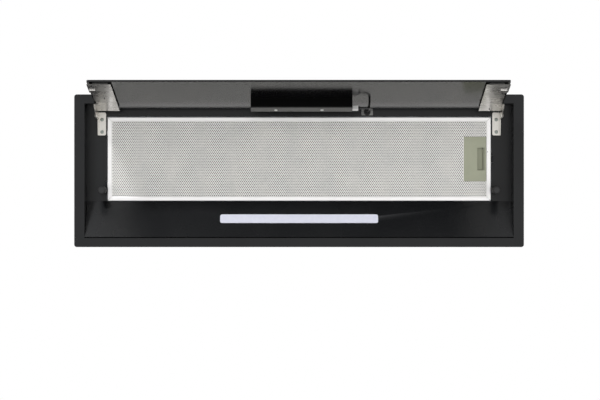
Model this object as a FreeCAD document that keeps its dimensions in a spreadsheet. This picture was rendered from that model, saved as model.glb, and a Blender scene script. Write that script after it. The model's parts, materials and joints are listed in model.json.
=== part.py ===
import FreeCAD, Part
import math
import os

import Sketcher
from FreeCAD import Placement, Rotation, Vector

# A built-in canopy hood for a 900 mm wall cabinet, in millimetres.
# The origin is the middle of the trim flange's upper face, the face that lies
# against the cabinet's underside.  +Z is up, -Y is the cook's side, where the
# glass flap hangs from its two hinges, and +X is the side of the filter's latch.
# The flap is drawn shut, in its own frame, and turned open about the hinge pin.

doc = FreeCAD.newDocument("canopy_hood")
dims = doc.addObject("Spreadsheet::Sheet", "dims")

SIZES = [
    # trim flange and recess
    ("flange_side", 19.6, "trim flange beside the recess"),
    ("flange_edge", 17.3, "trim flange before and behind the recess"),
    ("flange_width", "=recess_width + 2 * flange_side", "trim flange, side to side"),
    ("flange_depth", "=recess_depth + 2 * flange_edge", "trim flange, front to back"),
    ("flange_thick", 2, "hemmed edge of the flange"),
    ("flange_corner", 5, "corner radius of the flange"),
    ("recess_width", 820.8, "opening inside the flange, side to side"),
    ("recess_depth", 257.4, "opening inside the flange, front to back"),
    ("recess_height", 47, "from the flange's face up to the recess floor"),
    ("tray_gauge", 1.2, "sheet of the tray"),
    # lighting panel, a slope across the back of the recess
    ("slope_foot_gap", 2.1, "dark line between the slope and the back wall"),
    ("slope_run", 68.4, "depth of the slope seen from below"),
    ("slope_rise", 46, "height of the slope"),
    ("slope_gauge", 1.2, "sheet of the slope"),
    ("slope_side_gap", 0.4, "slope to side wall"),
    ("foot_return", 8, "fold at the slope's lower edge"),
    ("head_return", 7.9, "fold at the slope's upper edge"),
    ("lens_length", 304, "light strip, end to end"),
    ("lens_width", 20, "light strip, across"),
    ("lens_up_slope", 41.7, "slope's foot to the middle of the light strip"),
    ("lens_corner", 4, "corner of the light strip and of its slot"),
    ("lens_proud", 0.3, "light strip above the slope"),
    ("lens_play", 0.15, "light strip in its slot"),
    ("lens_rim", 4, "hidden rim round the light strip"),
    ("lens_rim_thick", 1.5, "thickness of that rim"),
    ("lamp_channel_deep", 12, "depth of the lamp channel"),
    ("lamp_channel_gauge", 1.2, "sheet of the lamp channel"),
    ("lamp_board_width", 12, "circuit strip of the lamp"),
    ("lamp_board_thick", 1.2, "circuit strip's thickness"),
    ("lamp_chip_side", 3, "one light chip"),
    ("lamp_chip_count", 18, "light chips on the strip"),
    ("lamp_chip_pitch", 16, "light chip to light chip"),
    # grease filter
    ("filter_side_room", 39.9, "recess floor beside the filter"),
    ("front_shelf", 24.7, "recess floor in front of the filter"),
    ("filter_width", "=recess_width - 2 * filter_side_room", "filter, side to side"),
    ("shelves", "=slope_foot_gap + slope_run + filter_slope_gap + front_shelf", "recess depth beside the filter's"),
    ("filter_depth", "=recess_depth - shelves", "filter, front to back"),
    ("filter_thick", 9, "filter"),
    ("filter_proud", 2, "filter below the recess floor"),
    ("filter_gap", 1.6, "filter to the edge of its opening"),
    ("filter_slope_gap", 0.8, "filter to the slope's upper edge"),
    ("frame_face", 8.4, "visible width of the filter's frame"),
    ("frame_gauge", 1.5, "strip that the filter's frame is rolled from"),
    ("frame_bevel", 1, "bevel along the filter frame's outer edge"),
    ("mesh_thick", 0.8, "perforated sheet of the filter"),
    ("mesh_inset", 2, "mesh edge inside the frame's outer edge"),
    ("mesh_border", 17, "plain border of the perforated sheet"),
    ("mesh_holes_across", 24, "perforations drawn side to side"),
    ("mesh_holes_deep", 6, "perforations drawn front to back"),
    ("mesh_hole", 7, "one drawn perforation, corner to corner"),
    ("core_thick", 3.6, "expanded mesh layers pressed together"),
    ("seat_play", 0.3, "filter to the seat above it"),
    ("seat_gauge", 1.2, "sheet of the filter seat"),
    ("seat_foot", 3, "foot of the filter seat on the tray"),
    ("seat_lip", 13, "inward lip that the filter rests against"),
    # filter latch
    ("latch_width", 42.9, "latch housing, side to side"),
    ("latch_depth", 86, "latch housing, front to back"),
    ("latch_edge_gap", 0.5, "latch housing to the frame"),
    ("latch_wall", 1.5, "walls of the latch housing"),
    ("grip_width", 13.5, "finger hollow, side to side"),
    ("grip_length", 43.5, "finger hollow, front to back"),
    ("grip_from_edge", 3.5, "finger hollow to the housing's outer edge"),
    ("latch_travel", 6, "travel of the latch slider"),
    ("leaf_folds", 8, "folds of the latch spring"),
    ("leaf_swing", 4, "latch spring, either side of its middle"),
    ("leaf_thick", 1.2, "latch spring's leaf, cut straight across the spring"),
    ("leaf_gap", 0.3, "latch spring to the wall and to the slider"),
    ("bolt_width", 10, "latch bolt, front to back"),
    ("bolt_thick", 2.6, "latch bolt and the pegs opposite it"),
    ("bolt_reach", 2.6, "bolt and pegs beyond the filter's edge"),
    ("bolt_rest", 0.3, "bolt above its keeper"),
    ("peg_spread", 50, "each peg from the middle of the filter"),
    ("keeper_width", 12, "spring keeper, front to back"),
    ("keeper_gauge", 0.6, "spring steel of the keepers"),
    ("keeper_length", 8, "keeper from tip to tail"),
    ("keeper_tip_gap", 0.9, "keeper's tip to the filter's edge"),
    ("notch_play", 2, "opening beside each keeper"),
    # hinges
    ("hinge_shelf", 21.5, "hinge pin behind the recess's front wall"),
    ("hinge_from_centre", "=recess_depth / 2 - hinge_shelf", "hinge pin in front of the hood's middle"),
    ("hinge_height", 17, "hinge pin above the flange's face"),
    ("flap_open_angle", 102.2, "flap hanging open, turned from shut"),
    ("pin_radius", 2, "hinge pin"),
    ("pin_play", 0.06, "hinge pin in the flap's ear, radial"),
    ("pin_head_radius", 4, "head of the hinge pin"),
    ("pin_head_thick", 1.8, "head of the hinge pin"),
    ("boss_radius", 6.8, "rounded ends of both hinge ears"),
    ("base_from_filter", 3, "hinge base beside the filter"),
    ("base_width", 15.5, "hinge base, side to side"),
    ("base_inner_edge", "=filter_width / 2 + base_from_filter", "hinge base, edge nearest the middle"),
    ("base_outer_edge", "=base_inner_edge + base_width", "hinge base, outer face of its ear"),
    ("base_length", 44.2, "hinge base, front to back"),
    ("base_front_reach", 6, "hinge base in front of the pin"),
    ("base_gauge", 1.5, "plate of the hinge base"),
    ("base_tail_height", 6, "ear's height at the base's back end"),
    ("ear_gap", 0.15, "flap's ear beside the base's ear"),
    ("base_screw_in", 7.8, "hinge base screws inside its ear"),
    ("base_screw_x", "=base_outer_edge - base_screw_in", "hinge base screws from the middle"),
    ("base_screw_front", 7.8, "first base screw behind the pin"),
    ("base_screw_back", 31.6, "second base screw behind the pin"),
    ("small_screw_radius", 1.6, "shank of the small screws"),
    ("small_screw_head", 3.4, "head radius of the small screws"),
    ("small_screw_cap", 1.6, "head height of the small screws"),
    ("screw_play", 0.2, "small screw in its clearance hole"),
    ("small_screw_length", 6, "shank length of the small screws"),
    # catches
    ("catch_in", 10, "magnet catches inside the glass's edge"),
    ("catch_x", "=base_outer_edge - catch_in", "magnet catches from the middle"),
    ("catch_y", 37, "magnet catches behind the middle"),
    ("catch_radius", 7.4, "catch post"),
    ("catch_gap", 0.3, "shut flap to the catch magnet"),
    ("magnet_radius", 5, "catch magnet"),
    ("magnet_thick", 3, "catch magnet"),
    ("magnet_proud", 0.5, "magnet beyond its post"),
    # flap
    ("flap_width", "=2 * base_outer_edge", "glass, side to side"),
    ("flap_length", 190.5, "glass, hinge edge to free edge"),
    ("flap_start", 1.9, "glass edge beyond the hinge pin"),
    ("flap_drop", 12.8, "glass inner face from the hinge pin"),
    ("glass_thick", 4, "glass"),
    ("glass_corner", 2, "corner radius of the glass"),
    ("glass_bevel", 0.5, "ground edge of the glass"),
    ("arm_stand_off", 4, "steel arm to the glass"),
    ("arm_gauge", 1.2, "steel arm's plate"),
    ("arm_width", 44.4, "steel arm, inner edge to the glass's edge"),
    ("arm_waist", 4.5, "steel arm's waist inside the glass's edge"),
    ("arm_inner_edge", "=base_outer_edge - arm_width", "steel arm, inner edge"),
    ("arm_waist_edge", "=base_outer_edge - arm_waist", "steel arm, outer edge along its middle"),
    ("arm_end_gap", 1, "steel arm to the free edge of the glass"),
    ("ear_length", 50, "ear along the arm"),
    ("ear_tail", 3.6, "ear's height at its far end"),
    ("wing_start", 135, "where the arm widens again"),
    ("slot_start", 155, "relief slot in the arm"),
    ("slot_wide", 1.6, "relief slot's width"),
    ("slot_deep", 12, "relief slot's length"),
    ("pad_inset", 6, "black bonding pad inside the arm's edge"),
    # control box on the flap
    ("control_left", -91, "control box, left end"),
    ("control_right", 101, "control box, right end"),
    ("control_start", 52, "control box from the hinge pin"),
    ("control_end", 79, "control box's far side from the hinge pin"),
    ("control_tall", 17.6, "control box off the glass"),
    ("control_wall", 1.5, "wall of the control box"),
    ("cover_thick", 2, "grey lid of the control box"),
    ("cover_screw_x", 43.5, "lid screws either side of the middle"),
    ("touch_board_thick", 1.6, "touch key board"),
    ("board_gap", 0.3, "touch key board to its walls"),
    ("connector_length", 11, "white connector"),
    ("connector_width", 11, "white connector, along the flap"),
    ("connector_tall", 8, "white connector, off the glass"),
    ("connector_start", 57, "white connector from the hinge pin"),
    ("connector_lift", 11.6, "white connector above the glass"),
    ("sleeve_length", 4, "black sleeve behind the connector"),
    ("sleeve_radius", 3.2, "black sleeve"),
    # flap cable
    ("cable_radius", 2, "flap cable"),
    ("cable_exit_x", 131.5, "cable's hole in the recess floor"),
    ("cable_from_hinge", 7, "cable's hole in front of the hinge line"),
    ("cable_exit_y", "=-hinge_from_centre - cable_from_hinge", "cable's hole in the recess floor"),
    ("cable_bury", 3, "cable inside its grommet"),
    ("grommet_radius", 5, "hole for the grommet"),
    ("grommet_flange", 6.6, "grommet's flange"),
    ("grommet_flange_thick", 1.6, "grommet's flange"),
    ("grommet_neck", 6, "grommet through and above the floor"),
    ("grommet_play", 0.1, "cable and grommet in their holes"),
    ("clip_width", 9, "cable clip"),
    ("clip_length", 22, "cable clip"),
    ("clip_gauge", 1, "cable clip"),
    # plenum and motor casing
    ("plenum_side", 2.4, "plenum inside the recess's side wall"),
    ("plenum_edge", 1.7, "plenum inside the recess's front and back walls"),
    ("plenum_width", "=recess_width - 2 * plenum_side", "plenum, side to side"),
    ("plenum_depth", "=recess_depth - 2 * plenum_edge", "plenum, front to back"),
    ("plenum_height", 90, "plenum above the tray"),
    ("casing_gauge", 1, "sheet of both casings"),
    ("mount_hole_radius", 2.5, "cabinet screw holes"),
    ("mount_hole_spread", 170, "cabinet screw holes, front to back"),
    ("mount_hole_rise", 40, "cabinet screw holes, one above the other"),
    ("mount_hole_low", 30, "lower cabinet screw holes above the tray"),
    ("motor_side", 222, "plenum's top beside the motor casing"),
    ("motor_step", 9, "plenum's top before and behind the motor casing"),
    ("motor_width", "=plenum_width - 2 * motor_side", "motor casing, side to side"),
    ("motor_depth", "=plenum_depth - 2 * motor_step", "motor casing, front to back"),
    ("motor_height", 134, "motor casing above the plenum"),
    ("motor_foot", 8, "foot of the motor casing"),
    # outlet
    ("outlet_y", 30.5, "outlet behind the hood's middle"),
    ("spigot_radius", 74.5, "duct spigot, outside"),
    ("spigot_wall", 2.2, "duct spigot's wall"),
    ("spigot_height", 45, "duct spigot"),
    ("spigot_base_radius", 84, "flange under the spigot"),
    ("spigot_base_thick", 3, "flange under the spigot"),
    ("collar_screw_circle", 79.2, "spigot screws from its axis"),
    ("outlet_hole_play", 0.5, "hole in the casing round the outlet"),
    ("damper_height", 16, "damper rod above the spigot's flange"),
    ("damper_rod_radius", 1.5, "damper rod"),
    ("damper_play", 0.06, "damper sleeves on the rod, radial"),
    ("damper_sleeve_radius", 3.2, "sleeves of the damper flaps"),
    ("damper_thick", 1.4, "damper flaps"),
    ("damper_rim_gap", 1.8, "damper flaps to the spigot"),
    ("damper_split", 4.3, "damper flaps' straight edge from the rod"),
    ("damper_lug_radius", 3.9, "bosses that hold the rod"),
    ("damper_lug_length", 5, "bosses that hold the rod"),
    ("damper_ledge", 2.8, "ledge under the damper flaps"),
    # blower
    ("fan_y", -26, "blower axis behind the hood's middle"),
    ("fan_z", 152, "blower axis above the flange"),
    ("wheel_radius", 60, "impeller, outside"),
    ("wheel_inner_radius", 50, "impeller, inside of its blades"),
    ("wheel_half_width", 60, "impeller, half its width"),
    ("wheel_plate", 1.2, "impeller's middle plate"),
    ("wheel_ring", 2, "impeller's end rings"),
    ("blade_thick", 0.8, "impeller blade"),
    ("blade_count", 30, "blades in each row"),
    ("blade_sweep", 7.5, "angle between a blade's two ends"),
    ("blade_bow", 1.8, "hollow of a blade"),
    ("scroll_gap", 6, "impeller to scroll at the tongue"),
    ("scroll_growth", 30, "growth of the scroll round its turn"),
    ("scroll_wall", 2, "scroll's wall"),
    ("scroll_side_gap", 6, "impeller to the scroll's sides"),
    ("scroll_tongue_angle", 75, "tongue, from the level at the back"),
    ("scroll_neck", 218, "where the outlet turns from square to round"),
    ("scroll_outlet_radius", 71, "scroll's round outlet"),
    ("scroll_flange", 3, "flange round the scroll's outlet"),
    ("inlet_radius", 46, "inlet ring's throat"),
    ("inlet_hole_radius", 54, "hole in the scroll's side"),
    ("inlet_bell", 10, "radius of the inlet ring's bell"),
    ("inlet_gauge", 2, "inlet ring's wall"),
    ("inlet_play", 0.3, "inlet ring in the scroll's hole"),
    ("rotor_radius", 38, "motor's rotor can"),
    ("rotor_wall", 4, "rotor can's wall"),
    ("rotor_length", 50, "rotor can"),
    ("air_gap", 0.6, "rotor to stator"),
    ("shaft_radius", 4, "motor shaft"),
    ("shaft_play", 0.05, "shaft in its bearing, radial"),
    ("stator_flange_radius", 30, "stator's mounting flange"),
    ("stator_flange_thick", 4, "stator's mounting flange"),
    ("bracket_gauge", 2.5, "motor bracket"),
    ("bracket_rim_radius", 72, "motor bracket's rim, outside"),
    ("bracket_rim_inner", 64, "motor bracket's rim, inside"),
    ("bracket_arm", 12, "motor bracket's arms"),
    ("bush_radius", 5, "rubber bushes"),
    ("bush_thick", 5, "rubber bushes"),
    ("capacitor_radius", 16, "capacitor"),
    ("capacitor_length", 56, "capacitor"),
    ("capacitor_y", -70, "capacitor behind the middle"),
    ("capacitor_z", 190, "capacitor above the flange"),
    # electronics
    ("box_from_end", 36, "electronics box to the plenum's end"),
    ("box_length", 156, "electronics box, side to side"),
    ("box_right", "=plenum_width / 2 - box_from_end", "electronics box, right side"),
    ("box_left", "=box_right - box_length", "electronics box, left side"),
    ("box_depth", 120, "electronics box, front to back"),
    ("box_height", 36, "electronics box"),
    ("box_wall", 2, "wall of the electronics box"),
    ("box_gap", 0.3, "electronics box above the plenum"),
    ("box_lid_thick", 2.5, "lid of the electronics box"),
    ("box_corner", 4, "corner radius of the electronics box"),
    ("power_board_length", 100, "power board"),
    ("power_board_depth", 80, "power board"),
    ("power_board_lift", 5, "power board above the box's floor"),
    ("terminal_length", 36, "terminal block"),
    ("terminal_depth", 18, "terminal block"),
    ("terminal_height", 14, "terminal block"),
    ("gland_radius", 8, "mains cable gland"),
    ("gland_bore", 4, "mains cable gland's bore"),
    ("gland_length", 18, "mains cable gland"),
]

for row, (alias, value, note) in enumerate(SIZES, start=1):
    dims.set(f"A{row}", alias)
    dims.setAlias(f"B{row}", alias)
    dims.set(f"C{row}", note)
for row, (alias, value, note) in enumerate(SIZES, start=1):
    dims.set(f"B{row}", str(value))
doc.recompute()


def size(alias):
    """A driving dimension as a number."""
    return float(dims.get(alias))


# Heights and edges that several pieces share, as formulas on the sheet.
FACE = "-dims.flange_thick"
FLOOR = "dims.recess_height - dims.flange_thick"
FLOOR_TOP = "dims.recess_height - dims.flange_thick + dims.tray_gauge"
SLOPE_FOOT_Y = "dims.recess_depth / 2 - dims.slope_foot_gap"
SLOPE_HEAD_Y = "dims.recess_depth / 2 - dims.slope_foot_gap - dims.slope_run"
SLOPE_LENGTH = "sqrt(dims.slope_run ^ 2 + dims.slope_rise ^ 2)"
FILTER_BACK = f"{SLOPE_HEAD_Y} - dims.filter_slope_gap"
FILTER_FRONT = f"{FILTER_BACK} - dims.filter_depth"
FILTER_MID = f"{FILTER_BACK} - dims.filter_depth / 2"
FILTER_LOW = f"{FLOOR} - dims.filter_proud"
SEAT_LIP_LOW = f"{FILTER_LOW} + dims.filter_thick + dims.seat_play"
PLENUM_TOP = f"{FLOOR_TOP} + dims.plenum_height"
CASING_TOP = f"{PLENUM_TOP} + dims.motor_height"
HINGE_Z = "dims.hinge_height - dims.flange_thick"
ARM_LOW = "-dims.flap_drop + dims.arm_stand_off"
GLASS_INNER = "-dims.flap_drop"

SLOPE_ANGLE = math.degrees(math.atan2(size("slope_rise"), size("slope_run")))
FILTER_BACK_Y = (
    size("recess_depth") / 2 - size("slope_foot_gap") - size("slope_run") - size("filter_slope_gap")
)
FILTER_MID_Y = FILTER_BACK_Y - size("filter_depth") / 2
FLOOR_Z = size("recess_height") - size("flange_thick")
FILTER_LOW_Z = FLOOR_Z - size("filter_proud")
PLENUM_TOP_Z = FLOOR_Z + size("tray_gauge") + size("plenum_height")
CASING_TOP_Z = PLENUM_TOP_Z + size("motor_height")
FLAP_BASE = Vector(0, -size("hinge_from_centre"), size("hinge_height") - size("flange_thick"))
OUTLET_AXIS = Vector(0, size("outlet_y"), CASING_TOP_Z)
SMALL_SCREW = ("small_screw_radius", "small_screw_length", "small_screw_head", "small_screw_cap")


# Drawing tools


def new_body(name):
    return doc.addObject("PartDesign::Body", name)


def new_sketch(body, role, offset="0"):
    """A sketch on one of the body's own origin planes, moved along its normal."""
    plane = next(item for item in body.Origin.OriginFeatures if item.Role == role)
    sketch = body.newObject("Sketcher::SketchObject", body.Name + "_sketch")
    sketch.AttachmentSupport = (plane, "")
    sketch.MapMode = "FlatFace"
    sketch.setExpression("AttachmentOffset.Base.z", offset)
    return sketch


def place_point(sketch, curve, point, across, up):
    """Holds one point of a sketch at two formulas."""
    for kind, formula in (("DistanceX", across), ("DistanceY", up)):
        held = sketch.addConstraint(Sketcher.Constraint(kind, -1, 1, curve, point, 1.0))
        sketch.setExpression(f"Constraints[{held}]", formula)


def outline(sketch, corners):
    """A closed polygon with a formula for each coordinate."""
    first = sketch.GeometryCount
    count = len(corners)
    for turn in range(count):
        angles = (2 * math.pi * turn / count, 2 * math.pi * (turn + 1) / count)
        ends = [Vector(math.cos(angle), math.sin(angle), 0) for angle in angles]
        sketch.addGeometry(Part.LineSegment(*ends))
    for turn in range(count):
        after = first + (turn + 1) % count
        sketch.addConstraint(Sketcher.Constraint("Coincident", first + turn, 2, after, 1))
    for turn, (across, up) in enumerate(corners):
        place_point(sketch, first + turn, 1, across, up)


def rectangle(sketch, left, right, low, high):
    outline(sketch, [(left, low), (right, low), (right, high), (left, high)])


def centred_rectangle(sketch, width, depth, grow="0"):
    """A rectangle about the origin, larger all round by grow."""
    across = f"({width}) / 2 + {grow}"
    along = f"({depth}) / 2 + {grow}"
    rectangle(sketch, f"-({across})", across, f"-({along})", along)


def circle(sketch, across, up, radius):
    ring = sketch.addGeometry(Part.Circle(Vector(1, 1, 0), Vector(0, 0, 1), 1))
    held = sketch.addConstraint(Sketcher.Constraint("Radius", ring, 1.0))
    sketch.setExpression(f"Constraints[{held}]", radius)
    place_point(sketch, ring, 3, across, up)


def light_outline(sketch, grow):
    """The light strip's rectangle on the slope, larger all round by grow."""
    across = f"dims.lens_length / 2 + {grow}"
    half = f"(dims.lens_width / 2 + {grow})"
    middle = "dims.lens_up_slope"
    rectangle(sketch, f"-({across})", across, f"{middle} - {half}", f"{middle} + {half}")


def pad(body, sketch, length, down=False):
    feature = body.newObject("PartDesign::Pad", body.Name + "_pad")
    feature.Profile = sketch
    feature.Reversed = down
    feature.setExpression("Length", length)
    doc.recompute()
    return feature


def pocket(body, sketch, depth, up=False):
    """Cuts a sketch's shape out of the body, and stops if nothing was cut."""
    before = body.Shape.Volume
    feature = body.newObject("PartDesign::Pocket", body.Name + "_pocket")
    feature.Profile = sketch
    feature.Reversed = up
    feature.setExpression("Length", depth)
    doc.recompute()
    if body.Shape.Volume > before - 1e-3:
        raise RuntimeError(f"{body.Name}: a pocket cut nothing")
    return feature


def straight_edges(feature, direction, wanted=lambda middle: True):
    """Names of a feature's straight edges along a direction."""
    names = []
    for number, edge in enumerate(feature.Shape.Edges, start=1):
        if edge.Curve.TypeId != "Part::GeomLine":
            continue
        along = edge.tangentAt(edge.FirstParameter)
        if abs(along.dot(direction)) > 0.999 and wanted(edge.CenterOfMass):
            names.append(f"Edge{number}")
    return names


def soften(body, feature, kind, edges, amount):
    """A Fillet or a Chamfer on named edges of the last feature."""
    if not edges:
        raise RuntimeError(f"{body.Name}: no edge to soften")
    edging = body.newObject("PartDesign::" + kind, body.Name + "_" + kind.lower())
    edging.Base = (feature, edges)
    edging.setExpression("Radius" if kind == "Fillet" else "Size", amount)
    doc.recompute()
    return edging


def hang_on_flap(item):
    """Turns a piece drawn on the shut flap to the open flap's place."""
    turned = Rotation(Vector(1, 0, 0), -size("flap_open_angle"))
    item.Placement = Placement(FLAP_BASE, turned)
    item.setExpression("Placement.Base.y", "-dims.hinge_from_centre")
    item.setExpression("Placement.Base.z", HINGE_Z)
    item.setExpression("Placement.Rotation.Angle", "-dims.flap_open_angle")


def lean_on_slope(item):
    """Puts a piece drawn flat, foot edge at y = 0 and face up, on the slope."""
    turned = Rotation(Vector(1, 0, 0), 180 - SLOPE_ANGLE)
    foot_y = size("recess_depth") / 2 - size("slope_foot_gap")
    item.Placement = Placement(Vector(0, foot_y, -size("flange_thick")), turned)
    item.setExpression("Placement.Base.y", SLOPE_FOOT_Y)
    item.setExpression("Placement.Base.z", FACE)


def group(name, solids):
    """Like pieces that share one node, each a solid of its own."""
    item = doc.addObject("Part::Feature", name)
    item.Shape = Part.makeCompound(solids)
    return item


def screw(place, away, kind=SMALL_SCREW):
    """A pan-head screw whose head's underside is at place; its shank runs away."""
    shank_radius, shank_length, head_radius, head_height = [size(alias) for alias in kind]
    direction = Vector(away).normalize()
    shank = Part.makeCylinder(shank_radius, shank_length, place, direction)
    head = Part.makeCylinder(head_radius, head_height, place, direction * -1)
    crown = [edge for edge in head.Edges if (edge.CenterOfMass - place).dot(direction) < -head_height / 2]
    rims = [edge for edge in crown if edge.Curve.TypeId == "Part::GeomCircle"]
    return head.makeChamfer(head_height * 0.4, rims).fuse(shank).removeSplitter()


def revolved(points, axis_point, axis):
    """A ring or turned piece from its half section."""
    profile = Part.Face(Part.makePolygon(points + [points[0]]))
    return profile.revolve(axis_point, axis, 360)


# Recess tray: flange, side walls and floor, deep-folded from one sheet


def make_tray():
    tray = new_body("recess_tray")
    flange = new_sketch(tray, "XY_Plane", FACE)
    centred_rectangle(flange, "dims.flange_width", "dims.flange_depth")
    plate = pad(tray, flange, "dims.flange_thick")
    corners = straight_edges(plate, Vector(0, 0, 1))
    soften(tray, plate, "Fillet", corners, "dims.flange_corner")
    walls = new_sketch(tray, "XY_Plane")
    centred_rectangle(walls, "dims.recess_width", "dims.recess_depth", "dims.tray_gauge")
    pad(tray, walls, FLOOR_TOP)
    recess = new_sketch(tray, "XY_Plane", FACE)
    centred_rectangle(recess, "dims.recess_width", "dims.recess_depth")
    pocket(tray, recess, "dims.recess_height", up=True)
    opening = new_sketch(tray, "XY_Plane", FLOOR)
    edge = "dims.filter_width / 2 + dims.filter_gap"
    back = f"{SLOPE_HEAD_Y} + dims.slope_gauge + dims.seat_play"
    rectangle(opening, f"-({edge})", edge, f"{FILTER_FRONT} - dims.filter_gap", back)
    pocket(tray, opening, "dims.tray_gauge * 2", up=True)
    for side, middle in keeper_places():
        cut_keeper_notch(tray, side, middle, FLOOR, "dims.tray_gauge * 2")
    holes = new_sketch(tray, "XY_Plane", FLOOR)
    for side in (-1, 1):
        for back_of_pin in ("dims.base_screw_front", "dims.base_screw_back"):
            place_y = f"-dims.hinge_from_centre + {back_of_pin}"
            circle(holes, f"{side} * dims.base_screw_x", place_y, "dims.small_screw_radius")
        circle(holes, f"{side} * dims.catch_x", "dims.catch_y", "dims.small_screw_radius")
    circle(holes, "dims.cable_exit_x", "dims.cable_exit_y", "dims.grommet_radius")
    pocket(tray, holes, "dims.tray_gauge * 2", up=True)


def keeper_places():
    """The latch's keeper on the right and the two peg keepers on the left."""
    yield 1, FILTER_MID
    yield -1, f"{FILTER_MID} - dims.peg_spread"
    yield -1, f"{FILTER_MID} + dims.peg_spread"


def cut_keeper_notch(body, side, middle, start, height):
    """Room beside a keeper for the bolt or peg to pass down."""
    notch = new_sketch(body, "XY_Plane", start)
    inner = "dims.filter_width / 2 + dims.filter_gap - 1"
    outer = "dims.filter_width / 2 + dims.keeper_tip_gap + dims.keeper_length + dims.notch_play"
    low = f"{middle} - dims.keeper_width / 2 - dims.notch_play / 2"
    high = f"{middle} + dims.keeper_width / 2 + dims.notch_play / 2"
    if body.Name == "recess_tray":
        outer = "dims.filter_width / 2 + dims.bolt_reach + dims.notch_play"
    if side > 0:
        rectangle(notch, inner, outer, low, high)
    else:
        rectangle(notch, f"-({outer})", f"-({inner})", low, high)
    pocket(body, notch, height, up=True)


# Light panel: a folded slope along the back of the recess


def make_light_panel():
    panel = new_body("light_panel")
    half = "dims.recess_width / 2 - dims.slope_side_gap"
    side = new_sketch(panel, "YZ_Plane", f"-({half})")
    steep = "dims.slope_rise / dims.slope_run"
    lift = f"dims.slope_gauge * {SLOPE_LENGTH} / dims.slope_run"
    foot_in = f"{SLOPE_FOOT_Y} - dims.slope_gauge"
    head_in = f"{SLOPE_HEAD_Y} + dims.slope_gauge"
    head_z = f"{FACE} + dims.slope_rise"
    inner_foot_z = f"{FACE} + dims.slope_gauge * {steep} + {lift}"
    inner_head_z = f"{FACE} + dims.slope_rise - dims.slope_gauge * {steep} + {lift}"
    corners = [
        (SLOPE_FOOT_Y, FACE),
        (SLOPE_FOOT_Y, f"{FACE} + dims.foot_return"),
        (foot_in, f"{FACE} + dims.foot_return"),
        (foot_in, inner_foot_z),
        (head_in, inner_head_z),
        (head_in, f"{head_z} + dims.head_return"),
        (SLOPE_HEAD_Y, f"{head_z} + dims.head_return"),
        (SLOPE_HEAD_Y, head_z),
    ]
    outline(side, corners)
    pad(panel, side, f"2 * ({half})")
    trim = new_sketch(panel, "XY_Plane", f"{FLOOR} - dims.seat_play")
    inner = "dims.filter_width / 2 + dims.filter_gap - dims.seat_play"
    for left, right in ((inner, f"{half} + 1"), (f"-({half} + 1)", f"-({inner})")):
        rectangle(trim, left, right, f"{SLOPE_HEAD_Y} - 1", f"{head_in} + 4")
    pocket(panel, trim, "dims.head_return * 2", up=True)
    slot = new_sketch(panel, "XY_Plane", FACE)
    light_outline(slot, "0")
    lean = Rotation(Vector(1, 0, 0), 180 - SLOPE_ANGLE)
    slot.AttachmentOffset = Placement(Vector(0, 0, 0), lean)
    slot.setExpression("AttachmentOffset.Base.y", SLOPE_FOOT_Y)
    slot.setExpression("AttachmentOffset.Base.z", FACE)
    opening = pocket(panel, slot, "dims.slope_gauge * 2")
    reach = size("lens_length") / 2 + 1
    through = lean.multVec(Vector(0, 0, 1))
    corners = straight_edges(opening, through, lambda middle: abs(middle.x) < reach)
    soften(panel, opening, "Fillet", corners, "dims.lens_corner")


# Lamp: frosted lens, circuit strip with light chips, and the channel behind


def make_lamp():
    lens = new_body("lamp_lens")
    rim = new_sketch(lens, "XY_Plane", "-dims.slope_gauge")
    light_outline(rim, "dims.lens_rim")
    pad(lens, rim, "dims.lens_rim_thick", down=True)
    face = new_sketch(lens, "XY_Plane", "-dims.slope_gauge")
    light_outline(face, "(-dims.lens_play)")
    block = pad(lens, face, "dims.slope_gauge + dims.lens_proud")
    soften(lens, block, "Fillet", straight_edges(block, Vector(0, 0, 1)), "dims.lens_corner")
    lean_on_slope(lens)

    channel = new_body("lamp_channel")
    start = "-dims.slope_gauge - dims.lens_rim_thick"
    outer = new_sketch(channel, "XY_Plane", start)
    low = "dims.lens_up_slope - dims.lens_width / 2 - dims.lens_rim"
    high = "dims.lens_up_slope + dims.lens_width / 2 + dims.lens_rim"
    end = "dims.lens_length / 2 + dims.lens_rim"
    rectangle(outer, f"-({end})", end, low, high)
    pad(channel, outer, "dims.lamp_channel_deep", down=True)
    hollow = new_sketch(channel, "XY_Plane", start)
    inner_end = f"{end} - dims.lamp_channel_gauge"
    rectangle(
        hollow,
        f"-({inner_end})",
        inner_end,
        f"{low} + dims.lamp_channel_gauge",
        f"{high} - dims.lamp_channel_gauge",
    )
    pocket(channel, hollow, "dims.lamp_channel_deep - dims.lamp_channel_gauge")
    lean_on_slope(channel)

    board = new_body("lamp_board")
    strip = new_sketch(board, "XY_Plane", f"{start} - dims.lamp_channel_deep + dims.lamp_channel_gauge")
    half_board = "dims.lamp_board_width / 2"
    board_end = "dims.lens_length / 2"
    middle = "dims.lens_up_slope"
    rectangle(strip, f"-({board_end})", board_end, f"{middle} - {half_board}", f"{middle} + {half_board}")
    pad(board, strip, "dims.lamp_board_thick")
    lean_on_slope(board)

    floor = -size("slope_gauge") - size("lens_rim_thick") - size("lamp_channel_deep")
    top = floor + size("lamp_channel_gauge") + size("lamp_board_thick")
    side = size("lamp_chip_side")
    count = int(size("lamp_chip_count"))
    chips = []
    for number in range(count):
        middle_x = (number - (count - 1) / 2) * size("lamp_chip_pitch")
        corner = Vector(middle_x - side / 2, size("lens_up_slope") - side / 2, top)
        chips.append(Part.makeBox(side, side, 1, corner))
    lean_on_slope(group("lamp_chips", chips))


# Grease filter: rolled frame, perforated skins, pressed core and latch


def filter_ring(body, start, length, outer_inset, inner_inset):
    """A band of the filter's outline between two insets."""
    band = new_sketch(body, "XY_Plane", start)
    filter_outline(band, outer_inset)
    filter_outline(band, inner_inset)
    return pad(body, band, length)


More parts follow.
